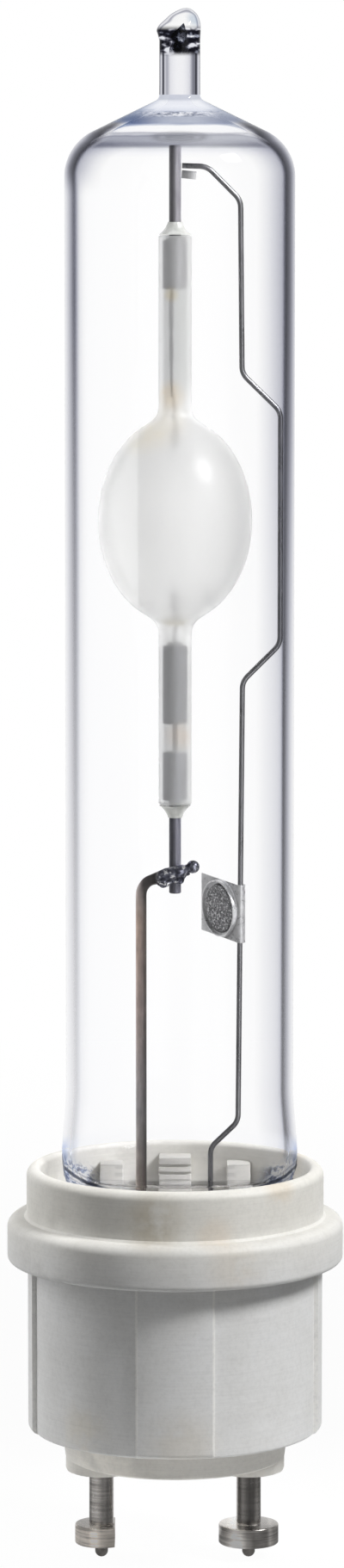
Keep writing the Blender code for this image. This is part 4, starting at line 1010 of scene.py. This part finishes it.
def pinchRings(plan, wall, steps):
    rings = []
    for i in range(steps + 1):
        t = 1.0 - (i / steps) ** 1.6
        ease = (1.0 - t ** 2.2) ** (1.0 / 2.2)
        wide = plan["sealWide"] - wall + (plan["flare"] - plan["sealWide"]) * ease
        deep = plan["sealDeep"] - wall + (plan["flare"] - plan["sealDeep"]) * ease
        rings.append((plan["neckTop"] - t * (plan["neckTop"] - plan["sealTop"]), wide, deep, plan["centre"]))
    return rings


def flareRings(plan, wall, steps):
    rings = []
    for i in range(1, steps + 1):
        t = i / steps
        radius = plan["flare"] + (plan["radius"] - plan["flare"]) * t * t * (3.0 - 2.0 * t) - wall
        rings.append((plan["neckTop"] + t * plan["flareHeight"], radius, radius, plan["centre"]))
    return rings


def ripplePress(piece, plan, strength):
    # the glass was pinched hot: folds run through it just above the seal, deepest at its two ears
    for corner in piece.data.vertices:
        x, y, z = corner.co
        rise = min(max((plan["rippleTop"] - z) / 0.003, 0.0), 1.0) * min(max((z - 0.0322) / 0.0008, 0.0), 1.0)
        if rise > 0.0:
            ear = min(max((abs(x - plan["centre"]) - 0.006) / 0.006, 0.0), 1.0)
            spot = Vector((x * 0.7, y, z * 1.6)) * plan["rippleSize"]
            push = noise.noise(spot) + 0.5 * noise.noise(spot * 2.3)
            away = Vector((x - plan["centre"], y, 0.0)).normalized()
            corner.co -= away * strength * rise * plan["ripple"] * (0.25 + ear) * (push + 0.35)


def makeBulb(plan, finishes):
    c = plan["centre"]
    rings = [
        (plan["sealBottom"], plan["sealWide"] - 0.0003, plan["sealDeep"] - 0.0003, c),
        (plan["sealBottom"] + 0.0003, plan["sealWide"], plan["sealDeep"], c),
        (plan["sealTop"] - 0.001, plan["sealWide"], plan["sealDeep"], c),
    ]
    rings += pinchRings(plan, 0.0, 16)
    rings += flareRings(plan, 0.0, 8)
    rings += roundRings([(z, r) for r, z in domeArc(plan, 0.0)], c)
    stub = plan["stub"]
    foot = plan["top"] + plan["coneSlope"] * stub
    rings += roundRings(
        [(foot - plan["coneSlope"] * r, r) for r in (0.0084, 0.0064, 0.0046, 0.0033, 0.00285)], c,
    )
    top = plan["top"]
    rings += roundRings([
        (top - 0.00004, stub * 1.085), (top + 0.00018, stub * 1.03), (top + 0.0005, stub * 1.005),
        (top + 0.002, stub), (plan["stubEnd"] - 0.0012, stub),
    ], c)
    tipRings = [(plan["stubEnd"] + rise, size, size * 0.98, c + lean) for rise, size, lean in plan["tip"]]
    rings += smoothRings(tipRings, 4)
    outer = ringPiece("quartzBulb", rings, plan["sides"], smoothAngle=50.0)
    ripplePress(outer, plan, 1.0)

    wall = plan["wall"]
    hollow = [(z + wall, wide, deep, x) for z, wide, deep, x in pinchRings(plan, wall, 16)]
    first = hollow[0]
    hollow.insert(0, (first[0] - 0.15 * wall, first[1] * 0.9, first[2] * 0.7, c))
    hollow += [ring for ring in flareRings(plan, wall, 8) if ring[0] > hollow[-1][0] + 0.0002]
    hollow += roundRings([(z, r) for r, z in domeArc(plan, wall)], c)
    bore = plan["bore"]
    boreFoot = plan["top"] - wall + plan["coneSlope"] * (stub - bore)
    under = foot - wall * math.hypot(1.0, plan["coneSlope"])
    hollow += roundRings([(under - plan["coneSlope"] * r, r) for r in (0.0075, 0.0055, 0.0036, 0.0024)], c)
    hollow += roundRings(
        [(boreFoot - 0.00025, bore * 1.3), (boreFoot + 0.0001, bore * 1.1), (boreFoot + 0.0008, bore)], c,
    )
    hollow += smoothRings(
        [(top + rise, size, size * 0.96, c + lean) for rise, size, lean in plan["boreEnd"]], 4,
    )
    inner = ringPiece("quartzInside", hollow, plan["sides"], smoothAngle=50.0)
    ripplePress(inner, plan, 1.4)
    selectOnly(inner)
    bpy.ops.object.mode_set(mode="EDIT")
    bpy.ops.mesh.select_all(action="SELECT")
    bpy.ops.mesh.flip_normals()
    bpy.ops.object.mode_set(mode="OBJECT")
    feet = {"quartzBulb": plan["top"] + 0.0004, "quartzInside": boreFoot - 0.0002}
    for shell, zones in ((outer, ("wall", "stub", "press")), (inner, ("inside", "bore", "pressInside"))):
        for zone in zones:
            shell.data.materials.append(finishes[zone])
        for face in shell.data.polygons:
            height = face.center.z
            face.material_index = 1 if height > feet[shell.name] else 2 if height < plan["pressTop"] else 0
    selectOnly(inner)
    outer.select_set(True)
    bpy.context.view_layer.objects.active = outer
    bpy.ops.object.join()
    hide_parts("outer_bulb")
    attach(outer, "root")
    return outer


quartzBulb = makeBulb(bulbPlan, {
    "wall": quartz("clearQuartz", "wall"), "inside": quartz("clearQuartzInside", "inside"),
    "stub": quartz("stubQuartz", "stub"), "bore": quartz("boreQuartz", "bore"),
    "press": quartz("pressQuartz", "press"), "pressInside": quartz("pressQuartzInside", "inside"),
})
hideFromGlass(lampPlan, quartzBulb)
print("bulb ready")


# arc tube, frits and leads
arcPlan = {
    "sides": 128, "centre": 0.1142, "radius": 0.00925, "half": 0.0123, "wall": 0.0009, "neck": 0.01375,
    "plug": 0.001975, "plugBore": 0.0013, "upperEnd": 0.14815, "lowerEnd": 0.07995,
    "stainsAndLight": (
        ((-0.003, -0.003, 0.1262), 0.0056, (0.98, 0.92, 0.79)),
        ((-0.0006, -0.0018, 0.1292), 0.0024, (0.96, 0.8, 0.58)),
        ((-0.0005, -0.0018, 0.1412), 0.0013, (0.95, 0.87, 0.7)),
        ((0.0006, -0.001, 0.0885), 0.0024, (0.98, 0.88, 0.8)),
    ),
}


def alumina(plan):
    # milky round the arc chamber, clearer in the two tubular ends
    made, tree, shader = startMaterial("sinteredAlumina")
    point = objectPoint(tree)
    cloud = noiseOf(tree, point, 260.0, 4.0)
    axes = axesOf(tree, point)
    away = apart(tree, axes["Z"], plan["centre"])
    slim = rangeOf(tree, away, 0.0125, 0.0178)
    across = rangeOf(tree, axes["X"], -0.0093, 0.0093, kind="LINEAR")
    along = rangeOf(tree, axes["Z"], 0.102, 0.127, kind="LINEAR")
    # painted light and shade: the chamber is lighter left of a soft step, darker towards its right and a
    # little darker near its upper end
    milkyWithPaintedLight = rampOf(tree, across, [
        (0.0, 1.0), (0.255, 1.0), (0.27, 0.87), (0.5, 0.9), (0.8, 0.87), (1.0, 0.78),
    ])
    milkyWithPaintedLight = tinted(
        tree, milkyWithPaintedLight, rampOf(tree, along, [(0.0, 1.0), (0.35, 1.0), (0.6, 0.99), (0.8, 0.93), (1.0, 0.98)]),
    )
    milkyWithPaintedLight = tinted(tree, milkyWithPaintedLight, (1.0, 1.0, 0.995))
    # painted shade: the tubular ends grow darker from left to right
    clear = rampOf(tree, across, [
        (0.39, (0.88, 0.885, 0.885)), (0.46, (0.86, 0.865, 0.865)), (0.52, (0.78, 0.785, 0.78)),
        (0.61, (0.76, 0.765, 0.755)),
    ])
    tone = mixOf(tree, slim, milkyWithPaintedLight, clear)
    tone = patchTone(tree, tone, point, cloud, plan["stainsAndLight"], (0.3, 0.6, 0.4, 1.0))
    tree.links.new(tone, shader.inputs["Base Color"])
    tree.links.new(rangeOf(tree, away, 0.0125, 0.0178, 0.62, 0.36), shader.inputs["Roughness"])
    tree.links.new(rangeOf(tree, away, 0.0125, 0.0178, 0.82, 0.72), shader.inputs["Transmission Weight"])
    shader.inputs["IOR"].default_value = 1.14
    # painted glow standing in for light scattered in the chamber wall, most in its lower end and fading out
    # on its right side
    glow = rampOf(tree, along, [(0.0, 0.04), (0.2, 0.034), (0.42, 0.016), (0.8, 0.016), (1.0, 0.02)])
    glow = tinted(tree, glow, rampOf(tree, across, [(0.0, 1.0), (0.7, 1.0), (0.9, 0.0)]))
    tree.links.new(mixOf(tree, slim, glow, 0.0), shader.inputs["Emission Color"])
    shader.inputs["Emission Strength"].default_value = 1.0
    shader.inputs["Coat Weight"].default_value = 0.35
    shader.inputs["Coat Roughness"].default_value = 0.34
    bumpOf(tree, shader, noiseOf(tree, point, 2400.0, 2.0), 0.1, 0.00003)
    return made


def vesselHalf(plan, wall, neckRadius):
    wide, tall = plan["radius"] - wall, plan["half"] - wall
    leave = math.acos(min(0.95, 0.28 + neckRadius / wide))
    points = [(wide * math.cos(leave * i / 18), tall * math.sin(leave * i / 18)) for i in range(19)]
    start = Vector(points[-1])
    heading = Vector((-wide * math.sin(leave), tall * math.cos(leave))).normalized()
    end = Vector((neckRadius, plan["neck"]))
    reach = (start - end).length * 0.45
    first, second = start + heading * reach, end - Vector((0.0, reach))
    for i in range(1, 9):
        t = i / 8
        u = 1 - t
        spot = u ** 3 * start + 3 * t * u ** 2 * first + 3 * t * t * u * second + t ** 3 * end
        points.append((spot.x, spot.y))
    return points


def makeArcTube(plan, finish):
    outer = vesselHalf(plan, 0.0, plan["plug"])
    inner = vesselHalf(plan, plan["wall"], plan["plugBore"])
    edge = 0.00016
    z = plan["centre"]
    outline = [
        (plan["plugBore"], plan["upperEnd"]), (plan["plug"] - edge, plan["upperEnd"]),
        (plan["plug"], plan["upperEnd"] - edge),
    ]
    outline += [(r, z + h) for r, h in reversed(outer)]
    outline += [(r, z - h) for r, h in outer[1:]]
    outline += [
        (plan["plug"], plan["lowerEnd"] + edge), (plan["plug"] - edge, plan["lowerEnd"]),
        (plan["plugBore"], plan["lowerEnd"]),
    ]
    outline += [(r, z - h) for r, h in reversed(inner)]
    outline += [(r, z + h) for r, h in inner[1:]]
    outline.append(outline[0])
    vessel = turnedPiece("arcVessel", outline, plan["sides"], closed=True, smoothAngle=40.0)
    dress(vessel, "alumina", finish, "arc_tube")


fritPlan = (  # radius, height from the tube's end
    (0.00084, 0.0001), (0.00192, 0.0001), (0.0018, 0.00018), (0.0016, 0.00036), (0.00138, 0.0006),
    (0.00118, 0.00088), (0.00102, 0.00118), (0.00092, 0.0014), (0.00086, 0.0016), (0.00084, 0.0001),
)


def fritGlass():
    made, tree, shader = startMaterial("frit")
    cloud = noiseOf(tree, objectPoint(tree), 1200.0, 4.0)
    tree.links.new(
        rampOf(tree, cloud, [(0.3, (0.5, 0.51, 0.48)), (0.7, (0.7, 0.705, 0.68))]),
        shader.inputs["Base Color"],
    )
    shader.inputs["Roughness"].default_value = 0.2
    shader.inputs["Transmission Weight"].default_value = 0.2
    bumpOf(tree, shader, cloud, 0.3, 0.0001)
    return made


def makeFrit(name, plan, end, way, finish, node):
    outline = [(r, end + way * h) for r, h in plan]
    frit = turnedPiece(name, outline, 64, closed=True, smoothAngle=60.0)
    dress(frit, "frit_glass", finish, node)


def leadMetal(name, dark, pale, roughness, scale=(1.0, 1.0, 0.2), metallic=1.0, shade=None):
    # shade is the tone from one side of a lead to the other
    made, tree, shader = startMaterial(name)
    streak = noiseOf(tree, objectPoint(tree, scale), 1400.0, 5.0, 0.6)
    tone = rampOf(tree, streak, [(0.32, dark), (0.7, pale)])
    if shade:
        axes = axesOf(tree, objectPoint(tree))
        across = rangeOf(tree, axes["X"], -0.0008, 0.0008, kind="LINEAR")
        tone = tinted(tree, tone, rampOf(tree, across, shade))
    tree.links.new(tone, shader.inputs["Base Color"])
    tree.links.new(
        rangeOf(tree, streak, 0.3, 0.7, roughness - 0.04, roughness + 0.05), shader.inputs["Roughness"],
    )
    shader.inputs["Metallic"].default_value = metallic
    bumpOf(tree, shader, streak, 0.12, 0.00003)
    return made


niobiumPlan = {"radius": 0.000725, "sealed": 0.00132, "edge": 0.0001}


def makeNiobium(name, plan, node, finish, end, way):
    # the part inside the tubular end looks thicker, with the seal glass round it
    low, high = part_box(node)[0][2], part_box(node)[1][2]
    radius, sealed, edge = plan["radius"], plan["sealed"], plan["edge"]
    inside, outside = (low, high) if way > 0 else (high, low)
    stops = [
        (1e-5, inside), (sealed - edge, inside), (sealed, inside + way * edge), (sealed, end - way * 0.0006),
        (radius, end - way * 0.0003), (radius, outside - way * edge), (radius - edge, outside),
        (1e-5, outside),
    ]
    lead = turnedPiece(name, stops, 48)
    dress(lead, "niobium", finish, node)


feedPlan = {  # height, radius, lean
    "lower": (
        (0.0, 0.0003, 0.0), (0.0895, 0.0003, 0.0), (0.0898, 0.00132, 0.0), (0.0991, 0.00132, 0.0),
        (0.0994, 0.0008, 0.0), (1.0, 0.0008, 0.0),
    ),
    "upper": (
        (0.0, 0.00014, -0.0004), (0.13, 0.00014, -0.0004), (0.1303, 0.0002, -0.00044),
        (0.1328, 0.0002, -0.00044), (0.1331, 0.00028, -0.00046), (0.1361, 0.00028, -0.00046),
        (0.1363, 0.00016, -0.00046), (0.1367, 0.00016, -0.00046), (0.1369, 0.00028, -0.00046),
        (0.1404, 0.00028, -0.00046), (0.1407, 0.0002, -0.0004), (1.0, 0.0002, -0.0004),
    ),
}


def makeFeedthrough(name, node, finish, stops):
    # a wound rod fills the lower bore; in the upper one it is thinner and leans on the wall
    low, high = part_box(node)[0][2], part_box(node)[1][2]
    rings = []
    for height, radius, lean in stops:
        level = min(max(height, low), high)
        if not rings or level > rings[-1][0] + 1e-6:
            rings.append((level, radius, radius, lean))
    rod = ringPiece(name, rings, 48)
    dress(rod, "molybdenum", finish, node)


makeArcTube(arcPlan, alumina(arcPlan))
fritFinish = fritGlass()
makeFrit("fritUpper", fritPlan, arcPlan["upperEnd"], 1.0, fritFinish, "frit_seal_upper")
makeFrit("fritLower", fritPlan, arcPlan["lowerEnd"], -1.0, fritFinish, "frit_seal_lower")
upperShade = [(0.0, 0.5), (0.28, 0.28), (0.5, 0.6), (0.75, 0.95), (1.0, 1.0)]
lowerShade = [(0.0, 0.55), (0.28, 0.32), (0.5, 0.62), (0.75, 0.95), (1.0, 1.0)]
upperFinish = leadMetal(
    "oxidisedNiobium", (0.3, 0.29, 0.32), (0.44, 0.43, 0.46), 0.34, metallic=0.45, shade=upperShade,
)
# painted shade: the lower niobium lead is a darker copy of the upper one
lowerFinish = leadMetal(
    "shadedNiobium", (0.15, 0.15, 0.19), (0.26, 0.26, 0.3), 0.34, metallic=0.45, shade=lowerShade,
)
makeNiobium("niobiumUpper", niobiumPlan, "niobium_lead_upper", upperFinish, arcPlan["upperEnd"], 1.0)
makeNiobium("niobiumLower", niobiumPlan, "niobium_lead_lower", lowerFinish, arcPlan["lowerEnd"], -1.0)
feedShade = [(0.0, 0.55), (0.2, 0.22), (0.4, 0.42), (0.7, 0.75), (1.0, 0.95)]
feedFinish = leadMetal(
    "woundMolybdenum", (0.13, 0.13, 0.15), (0.26, 0.26, 0.28), 0.4, metallic=0.3, shade=feedShade,
)
# painted shade: the lower rod is a darker copy of the upper one
darkFinish = leadMetal(
    "shadedMolybdenum", (0.06, 0.06, 0.085), (0.14, 0.14, 0.175), 0.4, metallic=0.3, shade=feedShade,
)
makeFeedthrough("feedLower", "feedthrough_rod_lower", darkFinish, feedPlan["lower"])
makeFeedthrough("feedUpper", "feedthrough_rod_upper", feedFinish, feedPlan["upper"])
print("arc tube ready")


# wires
wirePlan = {
    "thick": 0.00065, "thin": 0.000325, "thickX": -0.0041, "foot": 0.0269,
    "bend": 0.0695, "crossing": 0.0718, "slope": 0.34, "knobX": 0.00215, "knob": 0.0008,
    "returnPath": (  # x and z of the thin wire's corners
        (0.0043, 0.0269), (0.0043, 0.038), (0.00765, 0.0412), (0.0081, 0.0948), (0.01262, 0.0993),
        (0.01262, 0.1272), (0.008, 0.1317), (0.0078, 0.1523), (0.0038, 0.1563), (0.00083, 0.1564),
    ),
    "melt": (
        ((-0.0013, 0.8, 0.0709), (0.0009, 0.0007, 0.0009)),
        ((0.0004, 0.75, 0.0714), (0.0009, 0.0006, 0.0011)), ((0.001, 0.8, 0.072), (0.0009, 0.0005, 0.0006)),
    ),
}


def makeThickLead(plan, finish):
    weldY = -(0.000725 + plan["thick"] + 0.0001)
    crossing, slope = plan["crossing"], plan["slope"]
    elbowX = plan["thickX"] + 1.1 * plan["thick"]
    knob = Vector((plan["knobX"], weldY, crossing + slope * plan["knobX"]))
    cross = Vector((0.0, weldY, crossing))
    elbow = (elbowX, 0.35 * weldY, crossing + slope * elbowX)
    corners = [(plan["thickX"], 0.0, plan["foot"]), (plan["thickX"], 0.0, plan["bend"]), elbow, cross, knob]
    path = roundedPath(corners, 0.0011)
    heading = (knob - cross).normalized()
    last = path.pop()
    start = path.pop()
    steps = 26
    path += [start.lerp(last - heading * 1.25 * plan["knob"], i / steps) for i in range(steps)]
    swell = []
    for point in path:
        sleeve = 0.34 * max(0.0, 1.0 - ((point.x + 0.0012) / 0.0009) ** 2)
        sleeve += 0.3 * max(0.0, 1.0 - (point.x / 0.0011) ** 2)
        swell.append(1.0 + sleeve * (1.0 + 0.35 * noise.noise(point * 2600.0)))
    path.append(last - heading * 1.25 * plan["knob"])
    swell.append(0.86)
    full = plan["knob"] / plan["thick"]
    for angle in (-50.0, -25.0, 0.0, 25.0, 45.0, 60.0, 75.0, 86.0):
        path.append(last + heading * plan["knob"] * math.sin(math.radians(angle)))
        swell.append(full * math.cos(math.radians(angle)))
    lead = wirePiece("thickLead", path, plan["thick"], swell, 8)
    for place, size in plan["melt"]:
        clearSelection()
        bpy.ops.mesh.primitive_uv_sphere_add(segments=40, ring_count=24, radius=1.0)
        blob = bpy.context.object
        blob.scale = size
        blob.location = (place[0], weldY * place[1], place[2])
        bpy.ops.object.transform_apply(location=True, rotation=True, scale=True)
        middle = Vector((place[0], weldY * place[1], place[2]))
        for corner in blob.data.vertices:
            corner.co += (corner.co - middle) * 0.4 * noise.noise(corner.co * 1700.0)
        finishPiece(blob, 60.0)
        selectOnly(blob)
        lead.select_set(True)
        bpy.context.view_layer.objects.active = lead
        bpy.ops.object.join()
    dress(lead, "blued_steel", finish, "support_lead")


def makeThinWire(plan, finish):
    corners = [(x, 0.0, z) for x, z in plan["returnPath"]]
    wire = wirePiece("returnWire", roundedPath(corners, 0.0009), plan["thin"], None, 5)
    dress(wire, "frame_steel", finish, "frame_wire")


def heatedLead(plan):
    # scaled brown by the weld's heat, with a painted reflection of the ceramic cup in brown at its foot and a
    # painted highlight on the side that faces the window
    made, tree, shader = startMaterial("bluedSteel")
    point = objectPoint(tree)
    axes = axesOf(tree, point)
    middle, thick = plan["thickX"], plan["thick"]
    streak = noiseOf(tree, objectPoint(tree, (1.0, 1.0, 0.35)), 1500.0, 5.0, 0.6)
    across = rangeOf(tree, axes["X"], middle - thick, middle + thick, kind="LINEAR")
    tone = rampOf(tree, across, [
        (0.0, 0.46), (0.2, 0.42), (0.4, 0.26), (0.55, 0.14), (0.7, 0.075), (0.85, 0.05), (1.0, 0.045),
    ])
    tint = rampOf(tree, rangeOf(tree, axes["Z"], 0.03, 0.072, kind="LINEAR"), [
        (0.0, (1.16, 0.96, 0.8)), (0.3, (0.96, 0.92, 0.94)), (0.6, (1.12, 0.9, 0.84)),
        (0.85, (1.18, 0.9, 0.76)),
        (1.0, (1.0, 0.95, 0.97)),
    ])
    tone = tinted(tree, tone, tint)
    tone = tinted(tree, tone, rampOf(tree, streak, [(0.35, 0.8), (0.65, 1.15)]))
    # the weld is a spatter of dark metal, its bright specks painted glints
    speck = rampOf(tree, noiseOf(tree, point, 1500.0, 4.0, 0.65), [
        (0.36, (0.03, 0.03, 0.045)), (0.5, (0.15, 0.155, 0.2)), (0.57, (0.36, 0.37, 0.44)), (0.605, 1.0),
    ])
    tone = mixOf(tree, rangeOf(tree, axes["X"], middle + 0.0015, middle + 0.0026), tone, speck)
    tree.links.new(tone, shader.inputs["Base Color"])
    for socket, lead, weld in (("Roughness", 0.48, 0.22), ("Metallic", 0.25, 0.9)):
        tree.links.new(
            rangeOf(tree, axes["X"], middle + 0.001, middle + 0.002, lead, weld), shader.inputs[socket],
        )
    bumpOf(tree, shader, streak, 0.15, 0.00003)
    return made


makeThickLead(wirePlan, heatedLead(wirePlan))
makeThinWire(wirePlan, leadMetal("drawnSteel", (0.21, 0.21, 0.22), (0.3, 0.3, 0.315), 0.3))


tabPlan = {"size": (0.00175, 0.00015, 0.00095), "edge": 0.00003, "lean": 6.0}


def makeWeldTab(plan, finish):
    half = [size / 2 for size in plan["size"]]
    tab = boxPiece("weldTab", [-size for size in half], half, plan["edge"], 2)
    tab.rotation_euler.y = math.radians(plan["lean"])
    low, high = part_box("weld_strip")
    tab.location = [(a + b) / 2 for a, b in zip(low, high)]
    finishPiece(tab, 30.0)
    dress(tab, "bright_strip", finish, "weld_strip")


makeWeldTab(tabPlan, leadMetal("brightNickel", (0.48, 0.48, 0.49), (0.7, 0.7, 0.71), 0.3))
print("wires ready")


# getter
getterPlan = {
    "height": 0.0667, "x": 0.00786, "turn": 56.0, "wide": 0.0074, "tall": 0.007, "sheet": 0.0002,
    "clip": 0.000425,
    "ring": 0.0034, "ringWall": 0.0002, "ringRise": 0.0005, "ringMargin": 0.0007, "discGap": 0.0004,
    "shear": 0.00065,
}


def placeGetter(piece, plan):
    selectOnly(piece)
    for corner in piece.data.vertices:  # the free edge stands a little higher
        corner.co.z += plan["shear"] * corner.co.x / plan["wide"]
    piece.rotation_euler.z = math.pi - math.radians(plan["turn"])
    piece.location = (plan["x"], 0.0, plan["height"])
    finishPiece(piece, 35.0)


def getterSteel(plan):
    # painted highlight on the ring's pressed edges, and painted shade in the groove inside it
    made = leadMetal("stampedSteel", (0.46, 0.46, 0.47), (0.66, 0.66, 0.67), 0.3, (1.0, 1.0, 1.0), 0.6)
    tree, shader = made.node_tree, made.node_tree.nodes["Principled BSDF"]
    turn = math.pi - math.radians(plan["turn"])
    along = plan["wide"] - plan["ring"] - plan["ringMargin"]
    off = plan["clip"] + plan["sheet"] + 0.0004
    centre = (
        plan["x"] + math.cos(turn) * along - math.sin(turn) * off,
        math.sin(turn) * along + math.cos(turn) * off,
        plan["height"] + plan["shear"] * along / plan["wide"],
    )
    away = vectorOf(tree, "DISTANCE", objectPoint(tree), centre)
    ring = rampOf(tree, rangeOf(tree, away, 0.0026, 0.004, kind="LINEAR"), [
        (0.0, 0.22), (0.28, 0.22), (0.36, 1.45), (0.66, 1.45), (0.74, 0.62), (0.92, 0.95),
    ])
    tone = shader.inputs["Base Color"].links[0].from_socket
    tree.links.new(tinted(tree, tone, ring), shader.inputs["Base Color"])
    return made


def makeGetter(plan, steel, powder):
    low = plan["clip"]
    high = low + plan["sheet"]
    half = plan["tall"] / 2
    plate = boxPiece("getterSheet", (0.0, low, -half), (plan["wide"], high, half), 0.00006, 2)
    roll = [(low, -half), (high, -half), (high, half), (low, half), (low, -half)]
    clip = turnedPiece("clipRoll", roll, 48, closed=True)
    combine(clip, boxPiece("clipCut", (0.0, -0.002, -0.01), (0.002, 0.002, 0.01)), "DIFFERENCE")
    combine(plate, clip, "UNION")
    outer, wall, top, edge = plan["ring"], plan["ringWall"], high + plan["ringRise"], 0.00006
    ring = turnedPiece("getterRing", [
        (outer - wall, high - 0.0001), (outer, high - 0.0001), (outer, top - 0.00005), (outer - edge, top),
        (outer - wall + edge, top), (outer - wall, top - 0.00005), (outer - wall, high - 0.0001),
    ], 96, closed=True)
    size = outer - wall - plan["discGap"]
    disc = turnedPiece("getterDisc", [
        (1e-5, high + 0.0001), (size, high + 0.0001), (size, high + 0.00022), (size - 0.0001, high + 0.0003),
        (1e-5, high + 0.0003),
    ], 96)
    for flat in (ring, disc):
        flat.rotation_euler.x = math.radians(-90.0)
        flat.location = (plan["wide"] - plan["ring"] - plan["ringMargin"], 0.0, 0.0)
        finishPiece(flat, 35.0)
    combine(plate, ring, "UNION")
    placeGetter(plate, plan)
    placeGetter(disc, plan)
    dress(plate, "getter_steel", steel, "getter_plate")
    dress(disc, "getter_powder", powder, "getter_pellet")


def getterPowder():
    made, tree, shader = startMaterial("sinteredPowder")
    speck = noiseOf(tree, objectPoint(tree), 3600.0, 2.0, 0.7)
    tree.links.new(
        rampOf(tree, speck, [
            (0.36, (0.05, 0.05, 0.052)), (0.48, (0.1, 0.1, 0.105)), (0.57, (0.19, 0.19, 0.195)),
            (0.64, (0.52, 0.52, 0.53)),
        ]),
        shader.inputs["Base Color"],
    )
    shader.inputs["Roughness"].default_value = 0.75
    bumpOf(tree, shader, speck, 0.3, 0.00005)
    return made


makeGetter(getterPlan, getterSteel(getterPlan), getterPowder())
print("getter ready")


# CAD pieces that keep their shape
def simpleFinish(name, dark, pale, roughness, metallic=0.0, scale=1500.0, bump=0.3):
    made, tree, shader = startMaterial(name)
    cloud = noiseOf(tree, objectPoint(tree), scale, 4.0)
    tree.links.new(rampOf(tree, cloud, [(0.3, dark), (0.7, pale)]), shader.inputs["Base Color"])
    shader.inputs["Roughness"].default_value = roughness
    shader.inputs["Metallic"].default_value = metallic
    bumpOf(tree, shader, cloud, bump, 0.00006)
    return made


def dressNode(node, material):
    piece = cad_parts[node]
    piece.data.materials.clear()
    piece.data.materials.append(material)


molybdenum = simpleFinish("rolledMolybdenum", (0.32, 0.32, 0.34), (0.5, 0.5, 0.52), 0.35, 1.0)
tungsten = simpleFinish("paleTungsten", (0.8, 0.8, 0.81), (0.88, 0.88, 0.89), 0.5, 0.1)
cement = simpleFinish("roughCement", (0.24, 0.23, 0.21), (0.36, 0.345, 0.32), 0.9, 0.0, 900.0, 0.8)
for node in ("seal_foil_left", "seal_foil_right"):
    dressNode(node, molybdenum)
for node in ("electrode_rod_upper", "electrode_rod_lower", "electrode_coil_upper", "electrode_coil_lower"):
    dressNode(node, tungsten)
dressNode("base_cement", cement)
dressNode("halide_salt", simpleFinish("fusedSalt", (0.78, 0.72, 0.6), (0.88, 0.84, 0.74), 0.45))
dressNode(
    "mercury_drop",
    simpleFinish("liquidMercury", (0.74, 0.74, 0.76), (0.8, 0.8, 0.82), 0.06, 1.0, 300.0, 0.0),
)
print("inner pieces ready")
